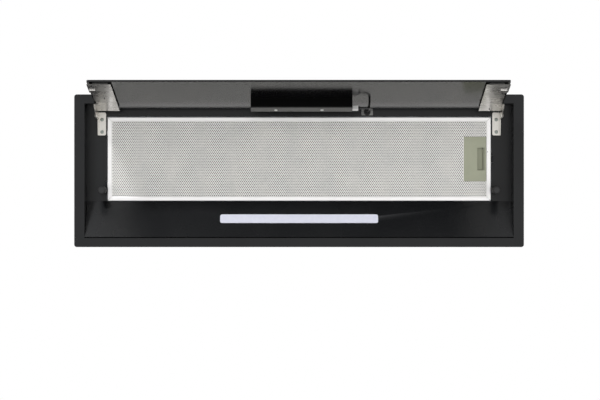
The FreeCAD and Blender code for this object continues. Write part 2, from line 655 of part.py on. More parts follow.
def filter_outline(sketch, inset):
    across = f"dims.filter_width / 2 - ({inset})"
    rectangle(
        sketch,
        f"-({across})",
        across,
        f"{FILTER_FRONT} + {inset}",
        f"{FILTER_BACK} - ({inset})",
    )


def latch_outline(sketch, grow="0"):
    """The latch housing's outline, against the right arm of the frame."""
    right = "dims.filter_width / 2 - dims.frame_face - dims.latch_edge_gap"
    left = f"{right} - dims.latch_width"
    rectangle(
        sketch,
        f"{left} - {grow}",
        f"{right} + {grow}",
        f"{FILTER_MID} - dims.latch_depth / 2 - {grow}",
        f"{FILTER_MID} + dims.latch_depth / 2 + {grow}",
    )


BOLT_LOW = f"{FLOOR_TOP} + dims.keeper_gauge + dims.bolt_rest"


def make_filter_frame():
    frame = new_body("filter_frame")
    filter_ring(frame, FILTER_LOW, "dims.frame_gauge", "0", "dims.frame_face")
    wall_start = f"{FILTER_LOW} + dims.frame_gauge"
    wall_height = "dims.filter_thick - 2 * dims.frame_gauge"
    filter_ring(frame, wall_start, wall_height, "0", "dims.frame_gauge")
    back_start = f"{FILTER_LOW} + dims.filter_thick - dims.frame_gauge"
    skin = filter_ring(frame, back_start, "dims.frame_gauge", "0", "dims.frame_face")
    low_z = FILTER_LOW_Z

    def on_the_face(middle):
        rim = abs(middle.x) > size("filter_width") / 2 - 0.1
        rim = rim or abs(middle.y - FILTER_MID_Y) > size("filter_depth") / 2 - 0.1
        return rim and abs(middle.z - low_z) < 0.01

    outer = straight_edges(skin, Vector(1, 0, 0), on_the_face)
    outer += straight_edges(skin, Vector(0, 1, 0), on_the_face)
    soften(frame, skin, "Chamfer", outer, "dims.frame_bevel")
    for side, middle in keeper_places():
        window = new_sketch(frame, "XY_Plane", f"{BOLT_LOW} - dims.pin_play - 0.2")
        outer_x = "dims.filter_width / 2 + 1"
        inner_x = "dims.filter_width / 2 - dims.frame_face - 1"
        low = f"{middle} - dims.bolt_width / 2 - 0.2"
        high = f"{middle} + dims.bolt_width / 2 + 0.2"
        if side > 0:
            rectangle(window, inner_x, outer_x, low, high)
        else:
            rectangle(window, f"-({outer_x})", f"-({inner_x})", low, high)
        pocket(frame, window, "dims.bolt_thick + 2 * dims.pin_play + 0.4", up=True)


def make_filter_mesh():
    """Perforated skins.  The drawn openings stand for the fine staggered ones."""
    low = FILTER_LOW_Z + size("frame_gauge")
    inset = size("mesh_inset")
    half_width = size("filter_width") / 2 - inset
    half_depth = size("filter_depth") / 2 - inset
    border = size("mesh_border")
    across = int(size("mesh_holes_across"))
    deep = int(size("mesh_holes_deep"))
    reach = size("mesh_hole") / 2
    latch_right = size("filter_width") / 2 - size("frame_face") - size("latch_edge_gap")
    latch_left = latch_right - size("latch_width")
    latch_half = size("latch_depth") / 2
    pitch_x = 2 * (half_width - border) / (across - 1)
    pitch_y = 2 * (half_depth - border) / (deep - 1)
    skin = Part.makeBox(
        2 * half_width,
        2 * half_depth,
        size("mesh_thick"),
        Vector(-half_width, FILTER_MID_Y - half_depth, low),
    )
    holes = []
    for row in range(deep):
        for column in range(across - row % 2):
            middle_x = -half_width + border + (column + 0.5 * (row % 2)) * pitch_x
            middle_y = FILTER_MID_Y - half_depth + border + row * pitch_y
            near_latch = middle_x > latch_left - 2 * reach and abs(middle_y - FILTER_MID_Y) < latch_half + 2 * reach
            if near_latch:
                continue
            turns = [Vector(reach, 0, 0), Vector(0, reach, 0), Vector(-reach, 0, 0), Vector(0, -reach, 0)]
            middle = Vector(middle_x, middle_y, low)
            loop = Part.makePolygon([middle + turn for turn in turns + turns[:1]])
            holes.append(Part.Face(loop).extrude(Vector(0, 0, size("mesh_thick"))))
    room = Part.makeBox(
        size("latch_width") + 2 * size("latch_edge_gap"),
        2 * latch_half + 2 * size("latch_edge_gap"),
        size("mesh_thick"),
        Vector(latch_left - size("latch_edge_gap"), FILTER_MID_Y - latch_half - size("latch_edge_gap"), low),
    )
    mesh = doc.addObject("Part::Feature", "filter_front_mesh")
    mesh.Shape = skin.cut(holes + [room])

    right = "dims.filter_width / 2"
    channel = (
        f"{right} - dims.frame_face - 1",
        f"{right} - dims.mesh_inset / 2",
        f"{FILTER_MID} - dims.bolt_width / 2 - 0.3",
        f"{FILTER_MID} + dims.bolt_width / 2 + 0.3",
    )
    core = new_body("filter_core")
    layer = new_sketch(core, "XY_Plane", f"{FILTER_LOW} + dims.frame_gauge + dims.mesh_thick")
    filter_outline(layer, "dims.mesh_inset")
    latch_outline(layer, "dims.latch_edge_gap")
    pad(core, layer, "dims.core_thick")
    passage = new_sketch(core, "XY_Plane", f"{BOLT_LOW} - 0.3")
    rectangle(passage, *channel)
    pocket(core, passage, "dims.core_thick", up=True)

    back = new_body("filter_back_mesh")
    start = f"{FILTER_LOW} + dims.frame_gauge + dims.mesh_thick + dims.core_thick"
    sheet = new_sketch(back, "XY_Plane", start)
    filter_outline(sheet, "dims.mesh_inset")
    latch_outline(sheet, "dims.latch_edge_gap")
    pad(back, sheet, "dims.mesh_thick")
    passage = new_sketch(back, "XY_Plane", start)
    rectangle(passage, *channel)
    pocket(back, passage, "dims.mesh_thick * 1.01", up=True)


def make_latch():
    housing = new_body("latch_housing")
    low = f"{FILTER_LOW} + 0.4"
    shell = new_sketch(housing, "XY_Plane", low)
    latch_outline(shell)
    height = "dims.filter_thick - 0.8"
    pad(housing, shell, height)
    inner = new_sketch(housing, "XY_Plane", f"{low} + dims.latch_wall")
    latch_outline(inner, "-dims.latch_wall")
    pocket(housing, inner, "dims.filter_thick - 0.8 - 2 * dims.latch_wall", up=True)
    right = "dims.filter_width / 2 - dims.frame_face - dims.latch_edge_gap"
    grip_right = f"{right} - dims.grip_from_edge"
    grip_left = f"{grip_right} - dims.grip_width"
    half_grip = "dims.grip_length / 2"
    hollow = new_sketch(housing, "XY_Plane", low)
    rectangle(hollow, grip_left, grip_right, f"{FILTER_MID} - {half_grip}", f"{FILTER_MID} + {half_grip}")
    pocket(housing, hollow, "dims.latch_wall * 1.5", up=True)
    gate = new_sketch(housing, "XY_Plane", f"{BOLT_LOW} - 0.2")
    half_bolt = "(dims.bolt_width / 2 + 0.2)"
    rectangle(gate, f"{right} - 3", f"{right} + 1", f"{FILTER_MID} - {half_bolt}", f"{FILTER_MID} + {half_bolt}")
    pocket(housing, gate, "dims.bolt_thick + 0.4", up=True)

    # The slider hooks under the finger and carries the bolt out through the frame.
    slider = new_body("latch_slider")
    bolt = new_sketch(slider, "XY_Plane", BOLT_LOW)
    bolt_tip = "dims.filter_width / 2 + dims.bolt_reach"
    half_width = "dims.bolt_width / 2"
    rectangle(bolt, grip_left, bolt_tip, f"{FILTER_MID} - {half_width}", f"{FILTER_MID} + {half_width}")
    pad(slider, bolt, "dims.bolt_thick")
    plate = new_sketch(slider, "XY_Plane", BOLT_LOW)
    half_plate = "dims.grip_length / 2 - 0.6"
    plate_right = f"{grip_right} - dims.latch_travel / 6"
    rectangle(
        plate,
        f"{grip_right} - 4",
        plate_right,
        f"{FILTER_MID} - ({half_plate})",
        f"{FILTER_MID} + {half_plate}",
    )
    pad(slider, plate, "dims.bolt_thick")
    lip = new_sketch(slider, "XY_Plane", f"{low} + 0.2")
    rectangle(
        lip,
        f"{grip_right} - 3",
        f"{grip_right} - 1",
        f"{FILTER_MID} - ({half_plate})",
        f"{FILTER_MID} + {half_plate}",
    )
    pad(slider, lip, f"({BOLT_LOW}) - ({low} + 0.2)")

    # Folded leaf spring that pushes the slider out from the housing's inner wall.
    right_wall = size("filter_width") / 2 - size("frame_face") - size("latch_edge_gap")
    bolt_back = right_wall - size("grip_from_edge") - size("grip_width")
    wall_face = right_wall - size("latch_width") + size("latch_wall")
    bolt_low = FLOOR_Z + size("tray_gauge") + size("keeper_gauge") + size("bolt_rest")
    half_leaf = size("leaf_thick") / 2
    start = wall_face + size("leaf_gap")
    pitch = (bolt_back - size("leaf_gap") - start) / size("leaf_folds")
    swing = size("leaf_swing")
    spine = []
    for fold in range(int(size("leaf_folds")) + 1):
        spine.append(Vector(start + fold * pitch, FILTER_MID_Y + swing * (-1) ** fold, bolt_low))
    one_side = [point + Vector(0, half_leaf, 0) for point in spine]
    other_side = [point - Vector(0, half_leaf, 0) for point in reversed(spine)]
    loop = Part.makePolygon(one_side + other_side + one_side[:1])
    spring = doc.addObject("Part::Feature", "latch_spring")
    spring.Shape = Part.Face(loop).extrude(Vector(0, 0, size("bolt_thick") * 0.8))

    tabs = []
    for side in (-1, 1):
        peg_y = FILTER_MID_Y + side * size("peg_spread")
        corner = Vector(
            -size("filter_width") / 2 - size("bolt_reach"),
            peg_y - size("bolt_width") / 2,
            bolt_low,
        )
        length = size("bolt_reach") + size("mesh_inset")
        tabs.append(Part.makeBox(length, size("bolt_width"), size("bolt_thick"), corner))
    group("filter_pegs", tabs)


# Filter seat in the plenum and the spring keepers that hold the filter up


def make_seat():
    seat = new_body("filter_seat")
    gap = "dims.filter_gap"
    back = f"{SLOPE_HEAD_Y} + dims.slope_gauge + dims.seat_play"
    levels = [
        (FLOOR_TOP, "dims.seat_gauge", "dims.seat_foot", "0"),
        (FLOOR_TOP, f"({SEAT_LIP_LOW}) - ({FLOOR_TOP}) + dims.seat_gauge", "dims.seat_gauge", "0"),
        (SEAT_LIP_LOW, "dims.seat_gauge", "dims.seat_gauge", "dims.seat_lip"),
    ]
    for start, height, outward, inward in levels:
        band = new_sketch(seat, "XY_Plane", start)
        edge = f"dims.filter_width / 2 + {gap}"
        front = f"{FILTER_FRONT} - {gap}"
        rectangle(
            band,
            f"-({edge} + {outward})",
            f"{edge} + {outward}",
            f"{front} - ({outward})",
            f"{back} + {outward}",
        )
        rectangle(
            band,
            f"-({edge} - ({inward}))",
            f"{edge} - ({inward})",
            f"{front} + {inward}",
            f"{back} - ({inward})",
        )
        pad(seat, band, height)
    for side, middle in keeper_places():
        height = "dims.keeper_gauge + dims.bolt_rest + dims.bolt_thick + 0.5"
        cut_keeper_notch(seat, side, middle, FLOOR_TOP, height)

    keepers = []
    places = [
        (1, FILTER_MID_Y),
        (-1, FILTER_MID_Y - size("peg_spread")),
        (-1, FILTER_MID_Y + size("peg_spread")),
    ]
    floor_top = FLOOR_Z + size("tray_gauge")
    for side, middle in places:
        tip = size("filter_width") / 2 + size("keeper_tip_gap")
        low_x = tip if side > 0 else -tip - size("keeper_length")
        corner = Vector(low_x, middle - size("keeper_width") / 2, floor_top)
        leaf = Part.makeBox(size("keeper_length"), size("keeper_width"), size("keeper_gauge"), corner)
        keepers.append(leaf)
    group("filter_keepers", keepers)


# Hinges: a base on the tray, an ear on each flap arm, and a headed pin


def make_hinges():
    names = ((-1, "hinge_base_left"), (1, "hinge_base_right"))
    for side, name in names:
        base = new_body(name)
        foot = new_sketch(base, "XY_Plane", f"{FLOOR} - dims.base_gauge")
        inner = "dims.base_inner_edge"
        outer = "dims.base_outer_edge"
        front = "-dims.hinge_from_centre - dims.base_front_reach"
        back = f"{front} + dims.base_length"
        if side > 0:
            rectangle(foot, inner, outer, front, back)
        else:
            rectangle(foot, f"-{outer}", f"-{inner}", front, back)
        plate = pad(base, foot, "dims.base_gauge")
        corner_edges = straight_edges(
            plate,
            Vector(0, 0, 1),
            lambda middle: abs(middle.x) < size("base_inner_edge") + 1,
        )
        soften(base, plate, "Fillet", corner_edges, "dims.base_gauge * 2")
        ear_x = "dims.base_outer_edge - dims.base_gauge" if side > 0 else f"-{outer}"
        ear = new_sketch(base, "YZ_Plane", ear_x)
        pin_y = "-dims.hinge_from_centre"
        corners = [
            (f"{pin_y} - dims.boss_radius", HINGE_Z),
            (f"{pin_y} + dims.boss_radius", HINGE_Z),
            (f"{pin_y} + dims.boss_radius + 2", f"{FLOOR} - dims.base_tail_height * 1.6"),
            (back, f"{FLOOR} - dims.base_tail_height"),
            (back, FLOOR),
            (f"{pin_y} - dims.boss_radius", FLOOR),
        ]
        outline(ear, corners)
        pad(base, ear, "dims.base_gauge")
        boss = new_sketch(base, "YZ_Plane", ear_x)
        circle(boss, pin_y, HINGE_Z, "dims.boss_radius")
        pad(base, boss, "dims.base_gauge")
        bore = new_sketch(base, "YZ_Plane", ear_x)
        circle(bore, pin_y, HINGE_Z, "dims.pin_radius")
        pocket(base, bore, "dims.base_gauge * 1.01", up=True)
        drill = new_sketch(base, "XY_Plane", f"{FLOOR} - dims.base_gauge")
        for behind in ("dims.base_screw_front", "dims.base_screw_back"):
            hole = "dims.small_screw_radius + dims.screw_play"
            circle(drill, f"{side} * dims.base_screw_x", f"{pin_y} + {behind}", hole)
        pocket(base, drill, "dims.base_gauge * 1.01", up=True)

    screws = []
    for side in (-1, 1):
        for behind in ("base_screw_front", "base_screw_back"):
            head_z = FLOOR_Z - size("base_gauge")
            place = Vector(side * size("base_screw_x"), size(behind) - size("hinge_from_centre"), head_z)
            screws.append(screw(place, Vector(0, 0, 1)))
    group("hinge_screws", screws)

    for side, name in ((-1, "hinge_pin_left"), (1, "hinge_pin_right")):
        inner = size("base_outer_edge") - size("base_gauge")
        outer = size("base_outer_edge") + size("ear_gap") * 2 + size("arm_gauge")
        along = Vector(side, 0, 0)
        start = Vector(side * inner, FLAP_BASE.y, FLAP_BASE.z)
        shank = Part.makeCylinder(size("pin_radius"), outer - inner, start, along)
        head_place = Vector(side * outer, FLAP_BASE.y, FLAP_BASE.z)
        head = Part.makeCylinder(size("pin_head_radius"), size("pin_head_thick"), head_place, along)
        rims = [
            edge
            for edge in head.Edges
            if edge.Curve.TypeId == "Part::GeomCircle" and abs(edge.CenterOfMass.x) > outer + 0.1
        ]
        head = head.makeChamfer(size("pin_head_thick") * 0.4, rims)
        pin = doc.addObject("Part::Feature", name)
        pin.Shape = head.fuse(shank).removeSplitter()


# Magnet catches that hold the flap shut


def make_catches():
    posts = []
    magnets = []
    shut_arm_top = FLAP_BASE.z - size("flap_drop") + size("arm_stand_off") + size("arm_gauge")
    magnet_low = shut_arm_top + size("catch_gap")
    post_low = magnet_low + size("magnet_proud")
    for side in (-1, 1):
        axis = Vector(side * size("catch_x"), size("catch_y"), post_low)
        post = Part.makeCylinder(size("catch_radius"), FLOOR_Z - post_low, axis)
        rims = [edge for edge in post.Edges if abs(edge.CenterOfMass.z - post_low) < 0.01]
        post = post.makeChamfer(1, rims[:1])
        seat = Part.makeCylinder(size("magnet_radius") + 0.05, size("magnet_thick") - size("magnet_proud"), axis)
        pilot = Part.makeCylinder(
            size("small_screw_radius"), size("small_screw_length"), Vector(axis.x, axis.y, FLOOR_Z), Vector(0, 0, -1)
        )
        posts.append(post.cut([seat, pilot]))
        magnets.append(
            Part.makeCylinder(size("magnet_radius"), size("magnet_thick"), Vector(axis.x, axis.y, magnet_low))
        )
    group("catch_posts", posts)
    group("catch_magnets", magnets)
    floor_top = FLOOR_Z + size("tray_gauge")
    places = [Vector(side * size("catch_x"), size("catch_y"), floor_top) for side in (-1, 1)]
    group("catch_screws", [screw(place, Vector(0, 0, -1)) for place in places])


# Flap: black glass on two steel arms


def make_flap():
    glass = new_body("flap_glass")
    pane = new_sketch(glass, "XY_Plane", f"{GLASS_INNER} - dims.glass_thick")
    half = "dims.flap_width / 2"
    rectangle(pane, f"-{half}", half, "dims.flap_start", "dims.flap_start + dims.flap_length")
    sheet = pad(glass, pane, "dims.glass_thick")
    corners = straight_edges(sheet, Vector(0, 0, 1))
    rounded = soften(glass, sheet, "Fillet", corners, "dims.glass_corner")
    lower = [
        f"Edge{number}"
        for number, edge in enumerate(rounded.Shape.Edges, start=1)
        if abs(edge.CenterOfMass.z + size("flap_drop") + size("glass_thick")) < 0.01
    ]
    soften(glass, rounded, "Chamfer", lower, "dims.glass_bevel")
    hang_on_flap(glass)

    for side, name in ((-1, "flap_arm_left"), (1, "flap_arm_right")):
        arm = new_body(name)
        plate = new_sketch(arm, "XY_Plane", ARM_LOW)
        ear_inner = "dims.base_outer_edge + dims.ear_gap"
        ear_outer = f"{ear_inner} + dims.arm_gauge"
        far_end = "dims.flap_start + dims.flap_length - dims.arm_end_gap"
        edge_points = [
            ("dims.arm_inner_edge", "dims.flap_start"),
            (ear_outer, "dims.flap_start"),
            (ear_outer, "dims.ear_length"),
            ("dims.arm_waist_edge", "dims.ear_length + 3"),
            ("dims.arm_waist_edge", "dims.wing_start"),
            ("dims.flap_width / 2", "dims.wing_start + 2"),
            ("dims.flap_width / 2", "dims.slot_start"),
            ("dims.flap_width / 2 - dims.slot_deep", "dims.slot_start"),
            ("dims.flap_width / 2 - dims.slot_deep", "dims.slot_start + dims.slot_wide"),
            ("dims.flap_width / 2", "dims.slot_start + dims.slot_wide"),
            ("dims.flap_width / 2", far_end),
            ("dims.arm_inner_edge", far_end),
        ]
        if side < 0:
            edge_points = [(f"-({across})", along) for across, along in edge_points]
        outline(plate, edge_points)
        pad(arm, plate, "dims.arm_gauge")
        ear_start = ear_inner if side > 0 else f"-({ear_outer})"
        ear = new_sketch(arm, "YZ_Plane", ear_start)
        outline(
            ear,
            [
                ("-dims.boss_radius * 0.62", "-dims.boss_radius * 0.78"),
                ("dims.flap_start", ARM_LOW),
                ("dims.ear_length", ARM_LOW),
                ("dims.ear_length", f"{ARM_LOW} + dims.ear_tail"),
                ("dims.boss_radius * 0.72", "dims.boss_radius * 0.69"),
            ],
        )
        pad(arm, ear, "dims.arm_gauge")
        boss = new_sketch(arm, "YZ_Plane", ear_start)
        circle(boss, "0", "0", "dims.boss_radius")
        pad(arm, boss, "dims.arm_gauge")
        bore = new_sketch(arm, "YZ_Plane", ear_start)
        circle(bore, "0", "0", "dims.pin_radius + dims.pin_play")
        pocket(arm, bore, "dims.arm_gauge * 1.01", up=True)
        hang_on_flap(arm)

    pads = []
    inset = size("pad_inset")
    start = size("flap_start") + inset
    length = size("flap_length") - size("arm_end_gap") - 2 * inset
    width = size("arm_waist_edge") - size("arm_inner_edge") - 2 * inset
    for side in (-1, 1):
        low_x = size("arm_inner_edge") + inset if side > 0 else -size("arm_waist_edge") + inset
        corner = Vector(low_x, start, -size("flap_drop"))
        pads.append(Part.makeBox(width, length, size("arm_stand_off"), corner))
    hang_on_flap(group("arm_pads", pads))


# Control box on the glass: open case, touch key board, grey lid


def make_control_box():
    case = new_body("control_case")
    outer = new_sketch(case, "XY_Plane", GLASS_INNER)
    rectangle(outer, "dims.control_left", "dims.control_right", "dims.control_start", "dims.control_end")
    block = pad(case, outer, "dims.control_tall")
    corners = straight_edges(block, Vector(0, 0, 1))
    soften(case, block, "Fillet", corners, "dims.control_wall * 0.8")
    hollow = new_sketch(case, "XY_Plane", f"{GLASS_INNER} + dims.control_tall")
    rectangle(
        hollow,
        "dims.control_left + dims.control_wall",
        "dims.control_right - dims.control_wall",
        "dims.control_start + dims.control_wall",
        "dims.control_end - dims.control_wall",
    )
    pocket(case, hollow, "dims.control_tall - dims.control_wall")
    hang_on_flap(case)

    cover = new_body("control_lid")
    lid = new_sketch(cover, "XY_Plane", f"{GLASS_INNER} + dims.control_tall")
    rectangle(lid, "dims.control_left", "dims.control_right", "dims.control_start", "dims.control_end")
    sheet = pad(cover, lid, "dims.cover_thick")
    soften(cover, sheet, "Fillet", straight_edges(sheet, Vector(0, 0, 1)), "dims.control_wall * 0.8")
    holes = new_sketch(cover, "XY_Plane", f"{GLASS_INNER} + dims.control_tall + dims.cover_thick")
    row = "(dims.control_start + dims.control_end) / 2"
    for side in (-1, 1):
        circle(holes, f"{side} * dims.cover_screw_x", row, "dims.small_screw_radius + dims.screw_play")
    pocket(cover, holes, "dims.cover_thick * 1.01")
    hang_on_flap(cover)

    top = -size("flap_drop") + size("control_tall") + size("cover_thick")
    middle = (size("control_start") + size("control_end")) / 2
    places = [Vector(side * size("cover_screw_x"), middle, top) for side in (-1, 1)]
    hang_on_flap(group("lid_screws", [screw(place, Vector(0, 0, -1)) for place in places]))

    board = new_body("touch_board")
    sheet = new_sketch(board, "XY_Plane", f"{GLASS_INNER} + dims.control_wall")
    inset = "dims.control_wall + dims.board_gap"
    rectangle(
        sheet,
        f"dims.control_left + {inset}",
        f"dims.control_right - ({inset})",
        f"dims.control_start + {inset}",
        f"dims.control_end - ({inset})",
    )
    pad(board, sheet, "dims.touch_board_thick")
    hang_on_flap(board)

    plug = new_body("flap_connector")
    base = new_sketch(plug, "XY_Plane", f"{GLASS_INNER} + dims.connector_lift")
    start = "dims.connector_start"
    end = "dims.connector_start + dims.connector_width"
    rectangle(base, "dims.control_right", "dims.control_right + dims.connector_length", start, end)
    body = pad(plug, base, "dims.connector_tall")
    soften(plug, body, "Fillet", straight_edges(body, Vector(1, 0, 0)), "dims.control_wall * 0.6")
    hang_on_flap(plug)

    sleeve = doc.addObject("Part::Cylinder", "connector_sleeve")
    sleeve.setExpression("Radius", "dims.sleeve_radius")
    sleeve.setExpression("Height", "dims.sleeve_length")
    place, along = sleeve_axis()
    sleeve.Placement = Placement(place, Rotation(Vector(0, 0, 1), along))


def on_open_flap(point):
    """Where a point drawn on the shut flap stands on the open one."""
    return Placement(FLAP_BASE, Rotation(Vector(1, 0, 0), -size("flap_open_angle"))).multVec(point)


def sleeve_axis():
    middle = size("connector_start") + size("connector_width") / 2
    lift = -size("flap_drop") + size("connector_lift") + size("connector_tall") / 2
    end = size("control_right") + size("connector_length")
    return on_open_flap(Vector(end, middle, lift)), Vector(1, 0, 0)


# Flap cable: from the sleeve, round the open hinge line, into the floor's grommet


def make_cable():
    start, along = sleeve_axis()
    start = start + along * size("sleeve_length")
    exit_x = size("cable_exit_x")
    exit_y = size("cable_exit_y")
    end = Vector(exit_x, exit_y, FLOOR_Z - size("grommet_flange_thick") + size("cable_bury"))
    thick = 2 * size("cable_radius")
    hole = Vector(exit_x, exit_y, FLOOR_Z)
    route = [
        start,
        start + Vector(1.85, 0, 0) * thick,
        start + Vector(3.525, -0.025, 0.975) * thick,
        start + Vector(4.475, -0.075, 2.65) * thick,
        hole + Vector(0.725, -1, -17) * thick,
        hole + Vector(0.85, -1, -12.5) * thick,
        hole + Vector(0.675, -0.775, -8) * thick,
        hole + Vector(0.275, -0.35, -4.25) * thick,
        hole + Vector(0, 0, -1.75) * thick,
        end,
    ]
    edges, radii, length = rounded_route(route)
    wire = Part.Wire(edges)
    section = Part.Wire(Part.makeCircle(size("cable_radius"), route[0], route[1] - route[0]))
    cable = doc.addObject("Part::Feature", "flap_cable")
    cable.Shape = wire.makePipeShell([section], True, False)
    expected = math.pi * size("cable_radius") ** 2 * length
    print("flap cable length %.1f, radii %s" % (length, ["%.1f" % radius for radius in radii]))
    print("flap cable volume %.1f, section times length %.1f" % (cable.Shape.Volume, expected))

    floor_z = FLOOR_Z
    play = size("grommet_play")
    bore = size("cable_radius") + play
    flange_low = floor_z - size("clip_gauge") - size("grommet_flange_thick")
    neck_top = floor_z + size("grommet_neck")
    bore_end = end.z + play
    across = Vector(exit_x, exit_y, 0)

    def section_point(radius, height):
        return across + Vector(radius, 0, height)

    half_section = [
        section_point(bore, flange_low),
        section_point(size("grommet_flange"), flange_low),
        section_point(size("grommet_flange"), floor_z - size("clip_gauge")),
        section_point(size("grommet_radius") - play, floor_z - size("clip_gauge")),
        section_point(size("grommet_radius") - play, neck_top),
        section_point(0, neck_top),
        section_point(0, bore_end),
        section_point(bore, bore_end),
    ]
    grommet = doc.addObject("Part::Feature", "cable_grommet")
    grommet.Shape = revolved(half_section, across, Vector(0, 0, 1))

    clip = new_body("cable_clip")
    plate = new_sketch(clip, "XY_Plane", f"{FLOOR} - dims.clip_gauge")
    left = "dims.cable_exit_x - dims.clip_length / 2"
    half = "dims.clip_width / 2"
    rectangle(
        plate,
        left,
        f"{left} + dims.clip_length",
        f"dims.cable_exit_y - {half} - 2",
        f"dims.cable_exit_y + {half} + 2",
    )
    circle(plate, "dims.cable_exit_x", "dims.cable_exit_y", "dims.grommet_radius")
    pad(clip, plate, "dims.clip_gauge")


def rounded_route(points):
    """Straight runs joined by tangent arcs, each as large as its two runs allow."""
    edges = []
    radii = []
    length = 0
    here = points[0]
    for before, corner, after in zip(points, points[1:], points[2:]):
        inward = (corner - before).normalize()
        outward = (after - corner).normalize()
        turn = inward.getAngle(outward)
        run = min((corner - before).Length, (after - corner).Length)
        set_back = 0.45 * run
        radius = set_back / math.tan(turn / 2)
        first = corner - inward * set_back
        last = corner + outward * set_back
        middle_way = (outward - inward).normalize()
        middle = corner + middle_way * (radius / math.cos(turn / 2) - radius)
        edges.append(Part.LineSegment(here, first).toShape())
        edges.append(Part.Arc(first, middle, last).toShape())
        length += (first - here).Length + radius * turn
        radii.append(radius)
        here = last
    edges.append(Part.LineSegment(here, points[-1]).toShape())
    length += (points[-1] - here).Length
    return edges, radii, length


# Plenum and motor casing, folded from sheet


def make_casings():
    plenum = new_body("plenum_casing")
    block = new_sketch(plenum, "XY_Plane", FLOOR_TOP)
    centred_rectangle(block, "dims.plenum_width", "dims.plenum_depth")
    pad(plenum, block, "dims.plenum_height")
    inside = new_sketch(plenum, "XY_Plane", FLOOR_TOP)
    centred_rectangle(inside, "dims.plenum_width", "dims.plenum_depth", "-dims.casing_gauge")
    pocket(plenum, inside, "dims.plenum_height - dims.casing_gauge", up=True)
    throat = new_sketch(plenum, "XY_Plane", PLENUM_TOP)
    centred_rectangle(throat, "dims.motor_width", "dims.motor_depth", "-dims.motor_foot")
    pocket(plenum, throat, "dims.casing_gauge * 2")
    half = "dims.plenum_width / 2"
    side_holes = new_sketch(plenum, "YZ_Plane", f"-({half} + 1)")
    lower = f"{FLOOR_TOP} + dims.mount_hole_low"
    for front in (-1, 1):
        for level in (lower, f"{lower} + dims.mount_hole_rise"):
            circle(side_holes, f"{front} * dims.mount_hole_spread / 2", level, "dims.mount_hole_radius")
    pocket(plenum, side_holes, "dims.plenum_width + 2", up=True)

    casing = new_body("motor_casing")
    foot = new_sketch(casing, "XY_Plane", PLENUM_TOP)
    centred_rectangle(foot, "dims.motor_width", "dims.motor_depth", "dims.motor_foot")
    centred_rectangle(foot, "dims.motor_width", "dims.motor_depth", "-dims.casing_gauge")
    pad(casing, foot, "dims.casing_gauge")
    walls = new_sketch(casing, "XY_Plane", PLENUM_TOP)
    centred_rectangle(walls, "dims.motor_width", "dims.motor_depth")
    pad(casing, walls, "dims.motor_height")
    cavity = new_sketch(casing, "XY_Plane", PLENUM_TOP)
    centred_rectangle(cavity, "dims.motor_width", "dims.motor_depth", "-dims.casing_gauge")
    pocket(casing, cavity, "dims.motor_height - dims.casing_gauge", up=True)
    outlet = new_sketch(casing, "XY_Plane", CASING_TOP)
    circle(outlet, "0", "dims.outlet_y", "dims.scroll_outlet_radius + dims.outlet_hole_play")
    for across, along in collar_screw_places():
        hole = "dims.small_screw_radius + dims.screw_play"
        circle(outlet, str(round(across, 4)), f"dims.outlet_y + {round(along, 4)}", hole)
    pocket(casing, outlet, "dims.casing_gauge * 2")

    screws = []
    inset = size("motor_foot") / 2
    for side_x in (-1, 0, 1):
        for side_y in (-1, 1):
            place = Vector(
                side_x * (size("motor_width") / 2 - 20),
                side_y * (size("motor_depth") / 2 + inset),
                PLENUM_TOP_Z + size("casing_gauge"),
            )
            screws.append(screw(place, Vector(0, 0, -1)))
    group("casing_screws", screws)
    for name in ("plenum_casing", "motor_casing"):
        body = doc.getObject(name)
        start = f"{PLENUM_TOP} + dims.casing_gauge * 1.5"
        drill = new_sketch(body, "XY_Plane", start)
        for side_x in (-1, 0, 1):
            for side_y in (-1, 1):
                circle(
                    drill,
                    f"{side_x} * (dims.motor_width / 2 - 20)",
                    f"{side_y} * (dims.motor_depth / 2 + dims.motor_foot / 2)",
                    "dims.small_screw_radius + 0.02",
                )
        pocket(body, drill, "dims.casing_gauge * 4")


def collar_screw_places():
    """Four screws round the outlet, between its widest points."""
    reach = size("collar_screw_circle") * math.sqrt(0.5)
    return [(side_x * reach, side_y * reach) for side_x in (-1, 1) for side_y in (-1, 1)]


# Duct spigot with its two non-return flaps


